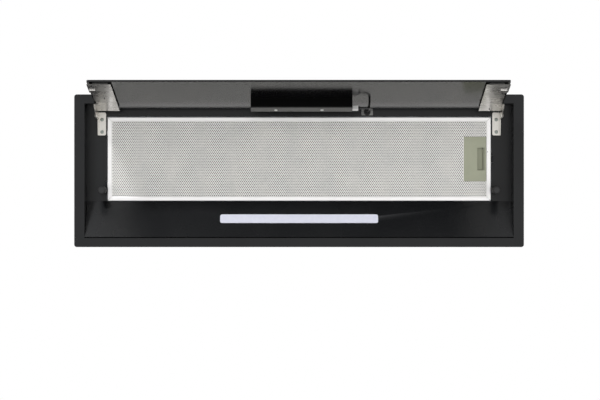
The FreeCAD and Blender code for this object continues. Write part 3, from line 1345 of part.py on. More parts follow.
def make_outlet():
    base = OUTLET_AXIS
    outer = size("spigot_radius")
    inner = outer - size("spigot_wall")
    thick = size("spigot_base_thick")
    top = size("spigot_height")
    rod_z = thick + size("damper_height")
    ledge_z = rod_z - size("damper_thick") / 2 - 0.3
    ledge = size("damper_ledge")
    half_section = [
        (inner, 0),
        (size("spigot_base_radius"), 0),
        (size("spigot_base_radius"), thick),
        (outer, thick),
        (outer, top - 1.5),
        (outer - 0.8, top),
        (inner, top),
        (inner, ledge_z),
        (inner - ledge, ledge_z),
        (inner - ledge, ledge_z - 1.2),
        (inner, ledge_z - 2.4),
    ]
    points = [base + Vector(radius, 0, height) for radius, height in half_section]
    spigot = revolved(points, base, Vector(0, 0, 1))
    lug_radius = size("damper_lug_radius")
    lug_length = size("damper_lug_length")
    rod = size("damper_rod_radius")
    rod_end = inner - 1
    cuts = []
    lugs = []
    for side in (-1, 1):
        along = Vector(side, 0, 0)
        lug_start = base + Vector(side * (inner - lug_length), 0, rod_z)
        lugs.append(Part.makeCylinder(lug_radius, lug_length + 1, lug_start, along))
        cuts.append(Part.makeCylinder(rod + 0.02, lug_length - 1 + 0.1, lug_start, along))
    holes = [
        Part.makeCylinder(size("small_screw_radius") + size("screw_play"), thick, base + Vector(across, along, 0))
        for across, along in collar_screw_places()
    ]
    collar = doc.addObject("Part::Feature", "duct_spigot")
    collar.Shape = spigot.fuse(lugs).cut(cuts + holes).removeSplitter()

    bar = doc.addObject("Part::Feature", "damper_rod")
    bar.Shape = Part.makeCylinder(rod, 2 * rod_end, base + Vector(-rod_end, 0, rod_z), Vector(1, 0, 0))

    rim = inner - size("damper_rim_gap")
    split = size("damper_split")
    for side, name in ((-1, "damper_front"), (1, "damper_back")):
        low = base + Vector(0, 0, rod_z - size("damper_thick") / 2)
        disc = Part.makeCylinder(rim, size("damper_thick"), low)
        keep_corner = base + Vector(-rim, split if side > 0 else -rim - split, rod_z - 5)
        half = disc.common(Part.makeBox(2 * rim, rim, 10, keep_corner))
        pieces = []
        for knuckle in range(4):
            if (knuckle % 2 == 0) != (side < 0):
                continue
            start_x = -44 + knuckle * 23
            sleeve_at = base + Vector(start_x, 0, rod_z)
            pieces.append(Part.makeCylinder(size("damper_sleeve_radius"), 19, sleeve_at, Vector(1, 0, 0)))
            web_y = 0 if side > 0 else -split - 1
            corner = base + Vector(start_x, web_y, rod_z - size("damper_thick") / 2)
            pieces.append(Part.makeBox(19, split + 1, size("damper_thick"), corner))
        bore_radius = rod + size("damper_play")
        bore = Part.makeCylinder(bore_radius, 2 * rim, base + Vector(-rim, 0, rod_z), Vector(1, 0, 0))
        flap = doc.addObject("Part::Feature", name)
        flap.Shape = half.fuse(pieces).cut(bore).removeSplitter()

    head_z = base.z + thick
    places = [Vector(across, base.y + along, head_z) for across, along in collar_screw_places()]
    group("spigot_screws", [screw(place, Vector(0, 0, -1)) for place in places])


# Blower: scroll halves, inlet rings, double impeller on an external-rotor motor


def spiral_face(margin):
    """The scroll's side outline, grown by margin, closed across its mouth."""
    centre = Vector(0, size("fan_y"), size("fan_z"))
    start_angle = math.radians(size("scroll_tongue_angle"))
    turn = 2 * math.pi - start_angle
    least = size("wheel_radius") + size("scroll_gap") + margin

    def on_spiral(share):
        angle = start_angle + share * turn
        radius = least + share * size("scroll_growth")
        return centre + Vector(0, radius * math.cos(angle), radius * math.sin(angle))

    arcs = 4
    edges = []
    for number in range(arcs):
        first = on_spiral(number / arcs)
        middle = on_spiral((number + 0.5) / arcs)
        last = on_spiral((number + 1) / arcs)
        edges.append(Part.Arc(first, middle, last).toShape())
    edges.append(Part.LineSegment(on_spiral(1), on_spiral(0)).toShape())
    return Part.Face(Part.Wire(edges))


def scroll_block(margin):
    """The scroll's volume with its square-to-round outlet, grown by margin."""
    half = size("wheel_half_width") + size("scroll_side_gap") + margin
    neck = size("scroll_neck")
    least = size("wheel_radius") + size("scroll_gap")
    tongue = math.radians(size("scroll_tongue_angle"))
    front = size("fan_y") + least * math.cos(tongue) - margin
    back = size("fan_y") + least + size("scroll_growth") + margin
    drum = spiral_face(margin).extrude(Vector(2 * half, 0, 0))
    drum.translate(Vector(-half, 0, 0))
    duct_height = neck - size("fan_z")
    duct = Part.makeBox(2 * half, back - front, duct_height, Vector(-half, front, size("fan_z")))
    corners = [(half, front), (half, back), (-half, back), (-half, front), (half, front)]
    square = Part.makePolygon([Vector(across, along, neck) for across, along in corners])
    rim_z = CASING_TOP_Z - size("casing_gauge")
    middle = Vector(0, size("outlet_y"), rim_z)
    radius = size("scroll_outlet_radius") - size("scroll_wall") + margin
    diagonal = math.degrees(math.atan2(back - front, 2 * half))
    angles = [-diagonal, diagonal, 180 - diagonal, 180 + diagonal, 360 - diagonal]
    arcs = []
    for one, other in zip(angles, angles[1:]):
        arcs.append(Part.makeCircle(radius, middle, Vector(0, 0, 1), one, other))
    outlet = Part.makeLoft([square, Part.Wire(arcs)], True, True)
    return drum.fuse([duct, outlet]).removeSplitter()


def make_scroll():
    wall = size("scroll_wall")
    shell = scroll_block(wall)
    rim_z = CASING_TOP_Z - size("casing_gauge")
    flange_low = Vector(0, size("outlet_y"), rim_z - size("scroll_flange"))
    shell = shell.fuse(Part.makeCylinder(size("spigot_base_radius"), size("scroll_flange"), flange_low))
    hollow = scroll_block(0)
    half = size("wheel_half_width") + size("scroll_side_gap") + wall
    axis_start = Vector(-half - 1, size("fan_y"), size("fan_z"))
    inlet = Part.makeCylinder(size("inlet_hole_radius"), 2 * half + 2, axis_start, Vector(1, 0, 0))
    holes = [
        Part.makeCylinder(
            size("small_screw_radius"),
            size("scroll_flange") + 1,
            Vector(across, size("outlet_y") + along, rim_z - size("scroll_flange") - 0.5),
        )
        for across, along in collar_screw_places()
    ]
    shell = shell.cut([hollow, inlet] + holes)
    reach = 400
    for side, name in ((-1, "scroll_left"), (1, "scroll_right")):
        room = Part.makeBox(reach, 2 * reach, reach, Vector(0 if side > 0 else -reach, -reach, 0))
        item = doc.addObject("Part::Feature", name)
        item.Shape = shell.common(room)


def make_inlets():
    half = size("wheel_half_width") + size("scroll_side_gap") + size("scroll_wall")
    throat = size("inlet_radius")
    bell = size("inlet_bell")
    gauge = size("inlet_gauge")
    rim = size("inlet_hole_radius") + 8
    mouth = half + gauge
    low = mouth - bell
    in_hole = size("inlet_hole_radius") - size("inlet_play")
    curve = []
    for step in range(5):
        angle = math.radians(90 * step / 4)
        curve.append((throat + bell * (1 - math.cos(angle)), low + bell * math.sin(angle)))
    section = [(throat, low - 4)] + curve + [(rim, mouth), (rim, half), (in_hole, half)]
    section += [(throat + gauge, low - 1), (throat + gauge, low - 4)]
    middle = Vector(0, size("fan_y"), size("fan_z"))
    for side, name in ((-1, "inlet_ring_left"), (1, "inlet_ring_right")):
        points = [middle + Vector(side * along, radius, 0) for radius, along in section]
        ring = doc.addObject("Part::Feature", name)
        ring.Shape = revolved(points, middle, Vector(1, 0, 0))


def blade_section(angle):
    """One forward-curved blade's section across the fan axis, as a closed face."""
    centre = Vector(0, size("fan_y"), size("fan_z"))
    inner = size("wheel_inner_radius")
    outer = size("wheel_radius") - 0.4
    sweep = math.radians(size("blade_sweep"))
    bow = size("blade_bow")
    half = size("blade_thick") / 2

    def spot(radius, at):
        return centre + Vector(0, radius * math.cos(at), radius * math.sin(at))

    root = spot(inner, angle)
    tip = spot(outer, angle + sweep)
    chord = (tip - root).normalize()
    aside = Vector(0, -chord.z, chord.y)
    middle = (root + tip) * 0.5 - aside * bow
    one_side = [point + aside * half for point in (root, middle, tip)]
    other_side = [point - aside * half for point in (tip, middle, root)]
    return Part.Face(Part.makePolygon(one_side + other_side + one_side[:1]))


def make_impeller():
    """Two rows of blades either side of a dished plate, tied by two end rings."""
    centre = Vector(0, size("fan_y"), size("fan_z"))
    along = Vector(1, 0, 0)
    half = size("wheel_half_width")
    plate = size("wheel_plate")
    count = int(size("blade_count"))
    hub = size("rotor_radius") - 8
    disc = Part.makeCylinder(size("wheel_radius"), plate, centre - along * (plate / 2), along)
    disc = disc.cut(Part.makeCylinder(hub - 6, plate, centre - along * (plate / 2), along))
    pieces = [disc]
    for number in range(count):
        angle = 2 * math.pi * number / count
        for side in (-1, 1):
            row_angle = angle + (math.pi / count if side > 0 else 0)
            face = blade_section(row_angle)
            face.translate(along * (side * (plate / 2 - 0.1)))
            pieces.append(face.extrude(along * (side * (half - plate / 2 - 0.2))))
    ring = size("wheel_ring")
    for side in (-1, 1):
        start = centre + along * (side * half)
        outer = Part.makeCylinder(size("wheel_radius"), ring, start, along * -side)
        inner = Part.makeCylinder(size("wheel_radius") - 5, ring, start, along * -side)
        pieces.append(outer.cut(inner))
    wheel = doc.addObject("Part::Feature", "fan_impeller")
    wheel.Shape = pieces[0].fuse(pieces[1:])


def make_motor():
    centre = Vector(0, size("fan_y"), size("fan_z"))
    plate_face = -size("wheel_plate") / 2
    can = size("rotor_radius")
    wall = size("rotor_wall")
    shaft = size("shaft_radius")
    open_end = plate_face - size("rotor_length")
    flange_face = -size("wheel_half_width") - size("scroll_side_gap")

    def spot(radius, along):
        return centre + Vector(along, radius, 0)

    # Rotor can, its end plate against the impeller's plate, and the shaft in one.
    rotor_section = [
        (0, plate_face),
        (can, plate_face),
        (can, open_end),
        (can - wall, open_end),
        (can - wall, plate_face - wall),
        (shaft, plate_face - wall),
        (shaft, flange_face + 1),
        (0, flange_face + 1),
    ]
    rotor = doc.addObject("Part::Feature", "motor_rotor")
    rotor.Shape = revolved([spot(*point) for point in rotor_section], centre, Vector(1, 0, 0))

    # Stator stack round the bearing tube, on its mounting flange.
    bore = shaft + size("shaft_play")
    stack = can - wall - size("air_gap")
    inner_end = plate_face - wall - 1
    flange = size("stator_flange_radius")
    flange_back = flange_face + size("stator_flange_thick")
    stator_section = [
        (bore, inner_end),
        (shaft + 5, inner_end),
        (shaft + 5, inner_end - 6),
        (stack, inner_end - 6),
        (stack, open_end + 4),
        (flange - 8, flange_back),
        (flange, flange_back),
        (flange, flange_face),
        (bore, flange_face),
    ]
    stator = doc.addObject("Part::Feature", "motor_stator")
    stator.Shape = revolved([spot(*point) for point in stator_section], centre, Vector(1, 0, 0))

    # Bracket: hub plate, three legs through the inlet and a rim on the inlet ring.
    gauge = size("bracket_gauge")
    ring_face = -(size("wheel_half_width") + size("scroll_side_gap") + size("scroll_wall"))
    ring_face -= size("inlet_gauge") + size("bush_thick")
    along = Vector(1, 0, 0)
    hub = Part.makeCylinder(flange + 4, gauge, centre + along * (flange_face - gauge), along)
    rim_start = centre + along * (ring_face - gauge)
    rim = Part.makeCylinder(size("bracket_rim_radius"), gauge, rim_start, along)
    rim = rim.cut(Part.makeCylinder(size("bracket_rim_inner"), gauge, rim_start, along))
    arm = size("bracket_arm")
    pieces = [rim]
    leg_length = flange_face - gauge - (ring_face - gauge) + gauge
    for number in range(3):
        turned = Placement(centre, Rotation(along, 120 * number + 90))
        bar = Part.makeBox(
            gauge, size("bracket_rim_inner") + 3 - flange, arm, Vector(ring_face - gauge, flange, -arm / 2)
        )
        leg = Part.makeBox(leg_length, gauge, arm, Vector(ring_face - gauge, flange + 1, -arm / 2))
        for piece in (bar, leg):
            piece.Placement = turned
            pieces.append(piece)
    bracket = doc.addObject("Part::Feature", "motor_bracket")
    bracket.Shape = hub.fuse(pieces).removeSplitter()

    bushes = []
    for number in range(3):
        angle = math.radians(120 * number + 90)
        radius = size("bracket_rim_inner") + (size("bracket_rim_radius") - size("bracket_rim_inner")) / 2
        radius -= 5
        place = centre + Vector(ring_face, radius * math.cos(angle), radius * math.sin(angle))
        bushes.append(Part.makeCylinder(size("bush_radius"), size("bush_thick"), place, along))
    group("motor_bushes", bushes)

    capacitor = doc.addObject("Part::Feature", "run_capacitor")
    inner_wall = size("motor_width") / 2 - size("casing_gauge")
    place = Vector(inner_wall, size("capacitor_y"), size("capacitor_z"))
    can_body = Part.makeCylinder(size("capacitor_radius"), size("capacitor_length"), place, Vector(-1, 0, 0))
    rims = [edge for edge in can_body.Edges if abs(edge.CenterOfMass.x - inner_wall) > size("capacitor_length") - 1]
    capacitor.Shape = can_body.makeChamfer(2, rims[:1])


# Electronics box beside the motor casing


def make_electronics():
    box = new_body("electronics_box")
    start = f"{PLENUM_TOP} + dims.box_gap"
    half = "dims.box_depth / 2"
    outer = new_sketch(box, "XY_Plane", start)
    rectangle(outer, "dims.box_left", "dims.box_right", f"-{half}", half)
    block = pad(box, outer, "dims.box_height")
    soften(box, block, "Fillet", straight_edges(block, Vector(0, 0, 1)), "dims.box_corner")
    hollow = new_sketch(box, "XY_Plane", f"{start} + dims.box_height")
    wall = "dims.box_wall"
    rectangle(hollow, f"dims.box_left + {wall}", f"dims.box_right - {wall}", f"-({half} - {wall})", f"{half} - {wall}")
    pocket(box, hollow, f"dims.box_height - {wall}")
    entry = new_sketch(box, "YZ_Plane", f"dims.box_right + 1")
    circle(entry, "0", f"{start} + dims.box_height / 2", "dims.gland_radius - 1")
    pocket(box, entry, f"{wall} + 2")

    lid = new_body("electronics_lid")
    cover = new_sketch(lid, "XY_Plane", f"{start} + dims.box_height")
    rectangle(cover, "dims.box_left", "dims.box_right", f"-{half}", half)
    sheet = pad(lid, cover, "dims.box_lid_thick")
    soften(lid, sheet, "Fillet", straight_edges(sheet, Vector(0, 0, 1)), "dims.box_corner")

    board = new_body("power_board")
    plate = new_sketch(board, "XY_Plane", f"{start} + {wall} + dims.power_board_lift")
    left = f"dims.box_left + {wall} + 4"
    half_board = "dims.power_board_depth / 2"
    rectangle(plate, left, f"{left} + dims.power_board_length", f"-{half_board}", half_board)
    pad(board, plate, "1.6")
    posts = new_sketch(board, "XY_Plane", f"{start} + {wall}")
    for across in ("6", "dims.power_board_length - 6"):
        for side in (-1, 1):
            circle(posts, f"{left} + {across}", f"{side} * ({half_board} - 6)", "3")
    pad(board, posts, "dims.power_board_lift")

    block = new_body("terminal_block")
    seat = new_sketch(block, "XY_Plane", f"{start} + {wall}")
    right = f"dims.box_right - {wall} - 4"
    half_block = "dims.terminal_length / 2"
    rectangle(seat, f"{right} - dims.terminal_depth", right, f"-{half_block}", half_block)
    pad(block, seat, "dims.terminal_height")

    gland = doc.addObject("Part::Feature", "mains_gland")
    axis_z = PLENUM_TOP_Z + size("box_gap") + size("box_height") / 2
    middle = Vector(size("box_right"), 0, axis_z)
    bore = size("gland_bore")
    outer = size("gland_radius")
    length = size("gland_length")
    neck = outer - 1 - size("screw_play")
    section = [
        (bore, -size("box_wall") - 2),
        (neck, -size("box_wall") - 2),
        (neck, 0),
        (outer + 2, 0),
        (outer + 2, 4),
        (outer, 4),
        (outer, length - 4),
        (outer - 2.5, length),
        (bore, length),
    ]
    points = [middle + Vector(along, radius, 0) for radius, along in section]
    gland.Shape = revolved(points, middle, Vector(1, 0, 0))


make_tray()
make_light_panel()
make_lamp()
make_filter_frame()
make_filter_mesh()
make_latch()
make_seat()
make_hinges()
make_catches()
make_flap()
make_control_box()
make_cable()
make_casings()
make_outlet()
make_scroll()
make_inlets()
make_impeller()
make_motor()
make_electronics()
doc.recompute()

# Check every object, then write one STEP file for each sub-part.
for item in doc.Objects:
    if "Invalid" in item.State or "Error" in item.State:
        raise RuntimeError(f"{item.Label} did not recompute: {item.State}")

sub_parts = [item for item in doc.Objects if item.TypeId == "PartDesign::Body"]
sub_parts += [item for item in doc.Objects if item.TypeId in ("Part::Feature", "Part::Cylinder")]
for item in sub_parts:
    if item.Shape.isNull() or not item.Shape.isValid():
        raise RuntimeError(f"{item.Label} has no valid shape")

os.makedirs("parts", exist_ok=True)
for item in sub_parts:
    item.Shape.exportStep(os.path.join("parts", item.Label + ".step"))
print(len(sub_parts), "sub-parts written")
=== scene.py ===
import json
import math

import bmesh
import bpy
from mathutils import Matrix, Vector


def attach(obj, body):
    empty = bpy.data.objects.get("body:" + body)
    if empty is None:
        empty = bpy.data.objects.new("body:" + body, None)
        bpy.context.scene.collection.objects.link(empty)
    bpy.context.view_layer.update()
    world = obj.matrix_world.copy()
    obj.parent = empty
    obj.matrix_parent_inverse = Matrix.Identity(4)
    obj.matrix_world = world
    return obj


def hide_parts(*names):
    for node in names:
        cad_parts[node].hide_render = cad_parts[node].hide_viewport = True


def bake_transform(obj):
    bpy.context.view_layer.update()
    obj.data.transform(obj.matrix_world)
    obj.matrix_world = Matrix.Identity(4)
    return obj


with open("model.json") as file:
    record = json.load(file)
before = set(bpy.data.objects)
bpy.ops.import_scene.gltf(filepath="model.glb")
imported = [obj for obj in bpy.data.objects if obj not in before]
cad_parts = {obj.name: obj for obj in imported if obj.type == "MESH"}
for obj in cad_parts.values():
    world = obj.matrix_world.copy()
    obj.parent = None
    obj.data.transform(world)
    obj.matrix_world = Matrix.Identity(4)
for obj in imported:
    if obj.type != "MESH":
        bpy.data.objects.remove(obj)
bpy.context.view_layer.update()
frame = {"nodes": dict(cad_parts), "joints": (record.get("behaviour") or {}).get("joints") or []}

# Recess tray and lighting panel: a tray folded from thin steel sheet with a hemmed
# trim flange round its mouth, and a sloping panel hooked across its back. Both are
# stove enamelled black, with the faint ripple that baked enamel keeps.

mm = 0.001
same_point = 0.01 * mm
hem_round = 0.5 * mm
enamel_black = (0.0062, 0.0066, 0.0074)
enamel_worn = (0.0095, 0.0100, 0.0108)
enamel_ripple = 520
enamel_cloud = 9
enamel_specular = 0.29
# the colour sockets of a Mix node
mix_first, mix_second, mix_out = 6, 7, 2


def new_finish(name, colour, rough, metallic=0.0):
    """A finish with one shader, whose plain values are set on its sockets."""
    finish = bpy.data.materials.new(name)
    finish.use_nodes = True
    shader = finish.node_tree.nodes["Principled BSDF"]
    shader.inputs["Base Color"].default_value = (*colour, 1)
    shader.inputs["Roughness"].default_value = rough
    shader.inputs["Metallic"].default_value = metallic
    return finish


def lay_pattern(finish, kind, scale, stretch=(1, 1, 1), output=0):
    """A pattern laid in the piece's own coordinates, so that it moves with it."""
    nodes, links = finish.node_tree.nodes, finish.node_tree.links
    place = nodes.new("ShaderNodeTexCoord")
    lay = nodes.new("ShaderNodeMapping")
    lay.inputs["Scale"].default_value = stretch
    pattern = nodes.new("ShaderNodeTex" + kind)
    pattern.inputs["Scale"].default_value = scale
    links.new(place.outputs["Object"], lay.inputs["Vector"])
    links.new(lay.outputs["Vector"], pattern.inputs["Vector"])
    return pattern.outputs[output]


def between(finish, pattern, low, high, start=0.3, end=0.7):
    """The pattern turned into a number from low to high."""
    nodes, links = finish.node_tree.nodes, finish.node_tree.links
    fit = nodes.new("ShaderNodeMapRange")
    fit.inputs["From Min"].default_value = start
    fit.inputs["From Max"].default_value = end
    fit.inputs["To Min"].default_value = low
    fit.inputs["To Max"].default_value = high
    links.new(pattern, fit.inputs["Value"])
    return fit.outputs["Result"]


def tint(finish, pattern, first, second, start=0.3, end=0.7):
    """Lets the colour wander between two tones with a pattern."""
    nodes, links = finish.node_tree.nodes, finish.node_tree.links
    blend = nodes.new("ShaderNodeMix")
    blend.data_type = "RGBA"
    blend.inputs[mix_first].default_value = (*first, 1)
    blend.inputs[mix_second].default_value = (*second, 1)
    links.new(between(finish, pattern, 0, 1, start, end), blend.inputs[0])
    links.new(blend.outputs[mix_out], nodes["Principled BSDF"].inputs["Base Color"])


def dull(finish, pattern, low, high):
    """Lets the gloss wander between two roughnesses with a pattern."""
    links = finish.node_tree.links
    shader = finish.node_tree.nodes["Principled BSDF"]
    links.new(between(finish, pattern, low, high), shader.inputs["Roughness"])


def relief(finish, pattern, depth, strength):
    """Raises the surface with a pattern, by so many metres at full height."""
    nodes, links = finish.node_tree.nodes, finish.node_tree.links
    bump = nodes.new("ShaderNodeBump")
    bump.inputs["Distance"].default_value = depth
    bump.inputs["Strength"].default_value = strength
    links.new(pattern, bump.inputs["Height"])
    links.new(bump.outputs["Normal"], nodes["Principled BSDF"].inputs["Normal"])


def dress(node, finish, edge=0.0):
    """Gives a framed node its finish, and rounds its sharp edges by a small radius."""
    piece = frame["nodes"][node]
    for holder in piece.material_slots:
        holder.material = finish
    if edge:
        joined = piece.modifiers.new("joined_faces", "WELD")
        joined.merge_threshold = same_point
        eased = piece.modifiers.new("eased_edges", "BEVEL")
        eased.width = edge
        eased.segments = 2
        eased.limit_method = "ANGLE"
        eased.angle_limit = math.radians(40)
        eased.harden_normals = True


black_enamel = new_finish("black_enamel", enamel_black, 0.3)
black_enamel.node_tree.nodes["Principled BSDF"].inputs["Specular IOR Level"].default_value = enamel_specular
cloud = lay_pattern(black_enamel, "Noise", enamel_cloud)
tint(black_enamel, cloud, enamel_black, enamel_worn)
dull(black_enamel, cloud, 0.25, 0.27)
relief(black_enamel, lay_pattern(black_enamel, "Noise", enamel_ripple), 0.02 * mm, 0.5)
dress("recess_tray", black_enamel, hem_round)
dress("light_panel", black_enamel, hem_round)

# Lamp of the lighting panel: a frosted strip moulded from white acrylic, pushed into
# the panel's slot from behind. A folded aluminium channel holds it, with a row of
# light chips soldered on a green circuit strip.

lens_white = (0.74, 0.75, 0.845)
lens_frost = (0.70, 0.71, 0.81)
phosphor = (0.85, 0.62, 0.12)
phosphor_pale = (0.9, 0.7, 0.2)
board_green = (0.035, 0.24, 0.11)
track_green = (0.02, 0.16, 0.07)

frosted_lens = new_finish("frosted_lens", lens_white, 0.42)
tint(frosted_lens, lay_pattern(frosted_lens, "Noise", 140), lens_frost, lens_white)
relief(frosted_lens, lay_pattern(frosted_lens, "Noise", 2600), 0.01 * mm, 0.4)
dress("lamp_lens", frosted_lens, 0.12 * mm)

lamp_chip = new_finish("lamp_chip", phosphor, 0.35)
tint(lamp_chip, lay_pattern(lamp_chip, "Voronoi", 900), phosphor_pale, phosphor)
dress("lamp_chips", lamp_chip, 0.15 * mm)

circuit_board = new_finish("circuit_board", board_green, 0.4)
tracks = lay_pattern(circuit_board, "Brick", 60, output=1)
tint(circuit_board, tracks, track_green, board_green, 0.4, 0.6)
relief(circuit_board, tracks, 0.03 * mm, 0.5)
for node in ("lamp_board", "power_board", "touch_board"):
    dress(node, circuit_board)

# Grease filter: rolled frame.
# Four lengths of anodised aluminium strip, rolled to a channel that grips the
# edges of the sheets, mitred at the corners and closed by one small rivet.

filter_half = 370.5 * mm
filter_front = -104.0 * mm
filter_back = 57.4 * mm
filter_face = 43.0 * mm
mitre_gap = 0.5 * mm
# the channel's outline: distance in from the outer edge, height above the face
channel = [
    (0.1, 9.0), (0.1, 0.7), (0.2, 0.36), (0.42, 0.14), (0.8, 0.03), (6.5, 0.03), (6.8, 0.12),
    (6.95, 0.26), (7.15, 0.26), (7.35, 0.1), (7.7, 0.03), (8.1, 0.1), (8.35, 0.35), (8.4, 0.8),
    (8.3, 1.4), (1.5, 1.42), (1.5, 7.5), (8.4, 7.5), (8.4, 9.0),
]
aluminium_light = (0.92, 0.91, 0.90)
aluminium_dark = (0.88, 0.87, 0.86)
frame_rivet_place = Vector((364.2, -37.0, 43.22)) * mm
frame_rivet_radius = 0.95 * mm
frame_rivet_top = 0.75 * mm
frame_rivet_height = 0.4 * mm
boss_sides = 20


def anodised(name, light, dark, rough, grain):
    """Anodised aluminium, with the fine lines of rolling along one direction."""
    finish = new_finish(name, light, rough, 1.0)
    lines = lay_pattern(finish, "Noise", 900, grain)
    tint(finish, lay_pattern(finish, "Noise", 22), dark, light)
    dull(finish, lines, rough - 0.05, rough + 0.08)
    relief(finish, lines, 0.006 * mm, 0.35)
    return finish


def loose_piece(name, mesh, finish):
    """A piece of the model from a mesh, with its finish, not yet on a body."""
    piece = bpy.data.objects.new(name, mesh)
    bpy.context.scene.collection.objects.link(piece)
    mesh.materials.clear()
    mesh.materials.append(finish)
    return piece


def new_piece(name, mesh, finish, body):
    """A piece of the model from a mesh, with its finish, riding on a body."""
    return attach(loose_piece(name, mesh, finish), body)


def mesh_from(name, shape):
    """Turns a drawn shape into a mesh, and lets the shape go."""
    mesh = bpy.data.meshes.new(name)
    shape.to_mesh(mesh)
    shape.free()
    return mesh


def join_rings(shape, lower, upper, smooth=False):
    """Closes the wall between two rings of as many points."""
    for number in range(len(lower)):
        after = (number + 1) % len(lower)
        wall = shape.faces.new([lower[number], lower[after], upper[after], upper[number]])
        wall.smooth = smooth


def add_boss(shape, place, radius, top, height):
    """A low round boss round the middle of its place, narrower at its top."""
    bmesh.ops.create_cone(
        shape, cap_ends=True, segments=boss_sides, radius1=radius, radius2=top, depth=height, matrix=place
    )


def rolled_frame():
    """The four mitred channels, each lofted from one corner cut to the next."""
    shape = bmesh.new()
    corners = [
        (Vector((-filter_half, filter_front, 0)), Vector((1, 1, 0))),
        (Vector((filter_half, filter_front, 0)), Vector((-1, 1, 0))),
        (Vector((filter_half, filter_back, 0)), Vector((-1, -1, 0))),
        (Vector((-filter_half, filter_back, 0)), Vector((1, -1, 0))),
    ]
    for start, end in zip(corners, corners[1:] + corners[:1]):
        run = (end[0] - start[0]).normalized()
        rings = []
        for (corner, inward), step in ((start, mitre_gap), (end, -mitre_gap)):
            ring = []
            for inset, height in channel:
                point = corner + inward * (inset * mm) + run * step
                ring.append(shape.verts.new((point.x, point.y, filter_face + height * mm)))
            rings.append(ring)
        join_rings(shape, *rings)
        shape.faces.new(rings[0][::-1])
        shape.faces.new(rings[1])
    bmesh.ops.recalc_face_normals(shape, faces=shape.faces)
    return mesh_from("filter_frame_rolled", shape)


def frame_rivet():
    """The head of the rivet that closes the frame's joint."""
    shape = bmesh.new()
    place = Matrix.Translation(frame_rivet_place)
    add_boss(shape, place, frame_rivet_radius, frame_rivet_top, frame_rivet_height)
    return mesh_from("frame_rivet", shape)


bare_aluminium = anodised("bare_aluminium", aluminium_light, aluminium_dark, 0.38, (1, 40, 40))
frame_piece = new_piece("filter_frame_rolled", rolled_frame(), bare_aluminium, "filter")
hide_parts("filter_frame")
rivet_grey = anodised("rivet_grey", (0.20, 0.20, 0.19), (0.12, 0.12, 0.12), 0.4, (1, 1, 1))
new_piece("frame_rivet", frame_rivet(), rivet_grey, "filter")
dress("filter_pegs", bare_aluminium, 0.25 * mm)
dress("lamp_channel", bare_aluminium, 0.2 * mm)

# Grease filter: perforated sheets and pressed core.
# A thin aluminium sheet punched with staggered round holes faces the room, a
# coarser one closes the back, and layers of expanded mesh are pressed between.

hole_sides = 6
first_corner_angle = 210
sheet_edge = 368.0 * mm
sheet_low = -101.3 * mm
sheet_high = 54.7 * mm
latch_left = 320.0 * mm
latch_low = -65.3 * mm
latch_high = 18.7 * mm
front_pitch = (4.0 * mm, 3.0 * mm)
front_hole = 1.12 * mm
front_height = 44.9 * mm
front_rim = 6.5 * mm
back_pitch = (8.0 * mm, 6.0 * mm)
back_hole = 2.4 * mm
back_height = 49.9 * mm
back_rim = 8.0 * mm


def punched_sheet(name, pitch, hole, height, rim):
    """A flat sheet in brick-like cells, each with one hole, plain near its edges.

    It is cut away where the latch goes through.
    """
    half, deep = pitch[0] / 2, pitch[1]
    columns = int(round(sheet_edge / half))
    rows = int(round((sheet_high - sheet_low) / deep))
    verts, faces, grid = [], [], {}

    def grid_point(i, j):
        if (i, j) not in grid:
            grid[i, j] = len(verts)
            verts.append((i * half, sheet_low + j * deep, height))
        return grid[i, j]

    def is_cut_away(i, j):
        x, y = (i + 0.5) * half, sheet_low + (j + 0.5) * deep
        return x > latch_left and latch_low < y < latch_high

    def is_plain(i, j):
        x, y = (i + 1) * half, sheet_low + (j + 0.5) * deep
        inside = sheet_low + rim < y < sheet_high - rim and abs(x) < sheet_edge - rim
        return not inside or is_cut_away(i - 1, j) or is_cut_away(i + 2, j)

    for j in range(rows):
        i = -columns
        while i < columns:
            paired = (i + j) % 2 == 0 and i + 1 < columns
            if is_cut_away(i, j):
                i += 1
                continue
            if not paired or is_plain(i, j) or is_cut_away(i + 1, j):
                square = [(i, j), (i + 1, j), (i + 1, j + 1), (i, j + 1)]
                faces.append([grid_point(*corner) for corner in square])
                i += 1
                continue
            around = [(i, j), (i + 1, j), (i + 2, j), (i + 2, j + 1), (i + 1, j + 1), (i, j + 1)]
            outer = [grid_point(*corner) for corner in around]
            middle_x, middle_y = (i + 1) * half, sheet_low + (j + 0.5) * deep
            first = len(verts)
            for side in range(hole_sides):
                angle = math.radians(first_corner_angle + 360 * side / hole_sides)
                x, y = middle_x + hole * math.cos(angle), middle_y + hole * math.sin(angle)
                verts.append((x, y, height))
            for side in range(hole_sides):
                after = (side + 1) % hole_sides
                faces.append([outer[side], outer[after], first + after, first + side])
            i += 2
    mesh = bpy.data.meshes.new(name)
    mesh.from_pydata(verts, [], faces)
    return mesh


filter_mesh = anodised("filter_mesh", (0.80, 0.785, 0.755), (0.73, 0.725, 0.705), 0.46, (1, 8, 8))
front_mesh = punched_sheet("filter_front_sheet", front_pitch, front_hole, front_height, front_rim)
front_sheet = new_piece("filter_front_sheet", front_mesh, filter_mesh, "filter")
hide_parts("filter_front_mesh")
back_mesh = punched_sheet("filter_back_sheet", back_pitch, back_hole, back_height, back_rim)
back_sheet = new_piece("filter_back_sheet", back_mesh, filter_mesh, "filter")
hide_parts("filter_back_mesh")

strand_grey = (0.10, 0.10, 0.095)
strand_bright = (0.16, 0.16, 0.15)
# the darkest tone is painted shade in the gaps between the strands
strand_gap_painted_shade = (0.03, 0.03, 0.03)

pressed_mesh = new_finish("pressed_mesh", strand_grey, 0.55, 0.6)
strands = lay_pattern(pressed_mesh, "Voronoi", 330, (1, 1.6, 1))
tint(pressed_mesh, strands, strand_bright, strand_gap_painted_shade, 0.1, 0.6)
relief(pressed_mesh, strands, 0.6 * mm, 0.8)
dress("filter_core", pressed_mesh)

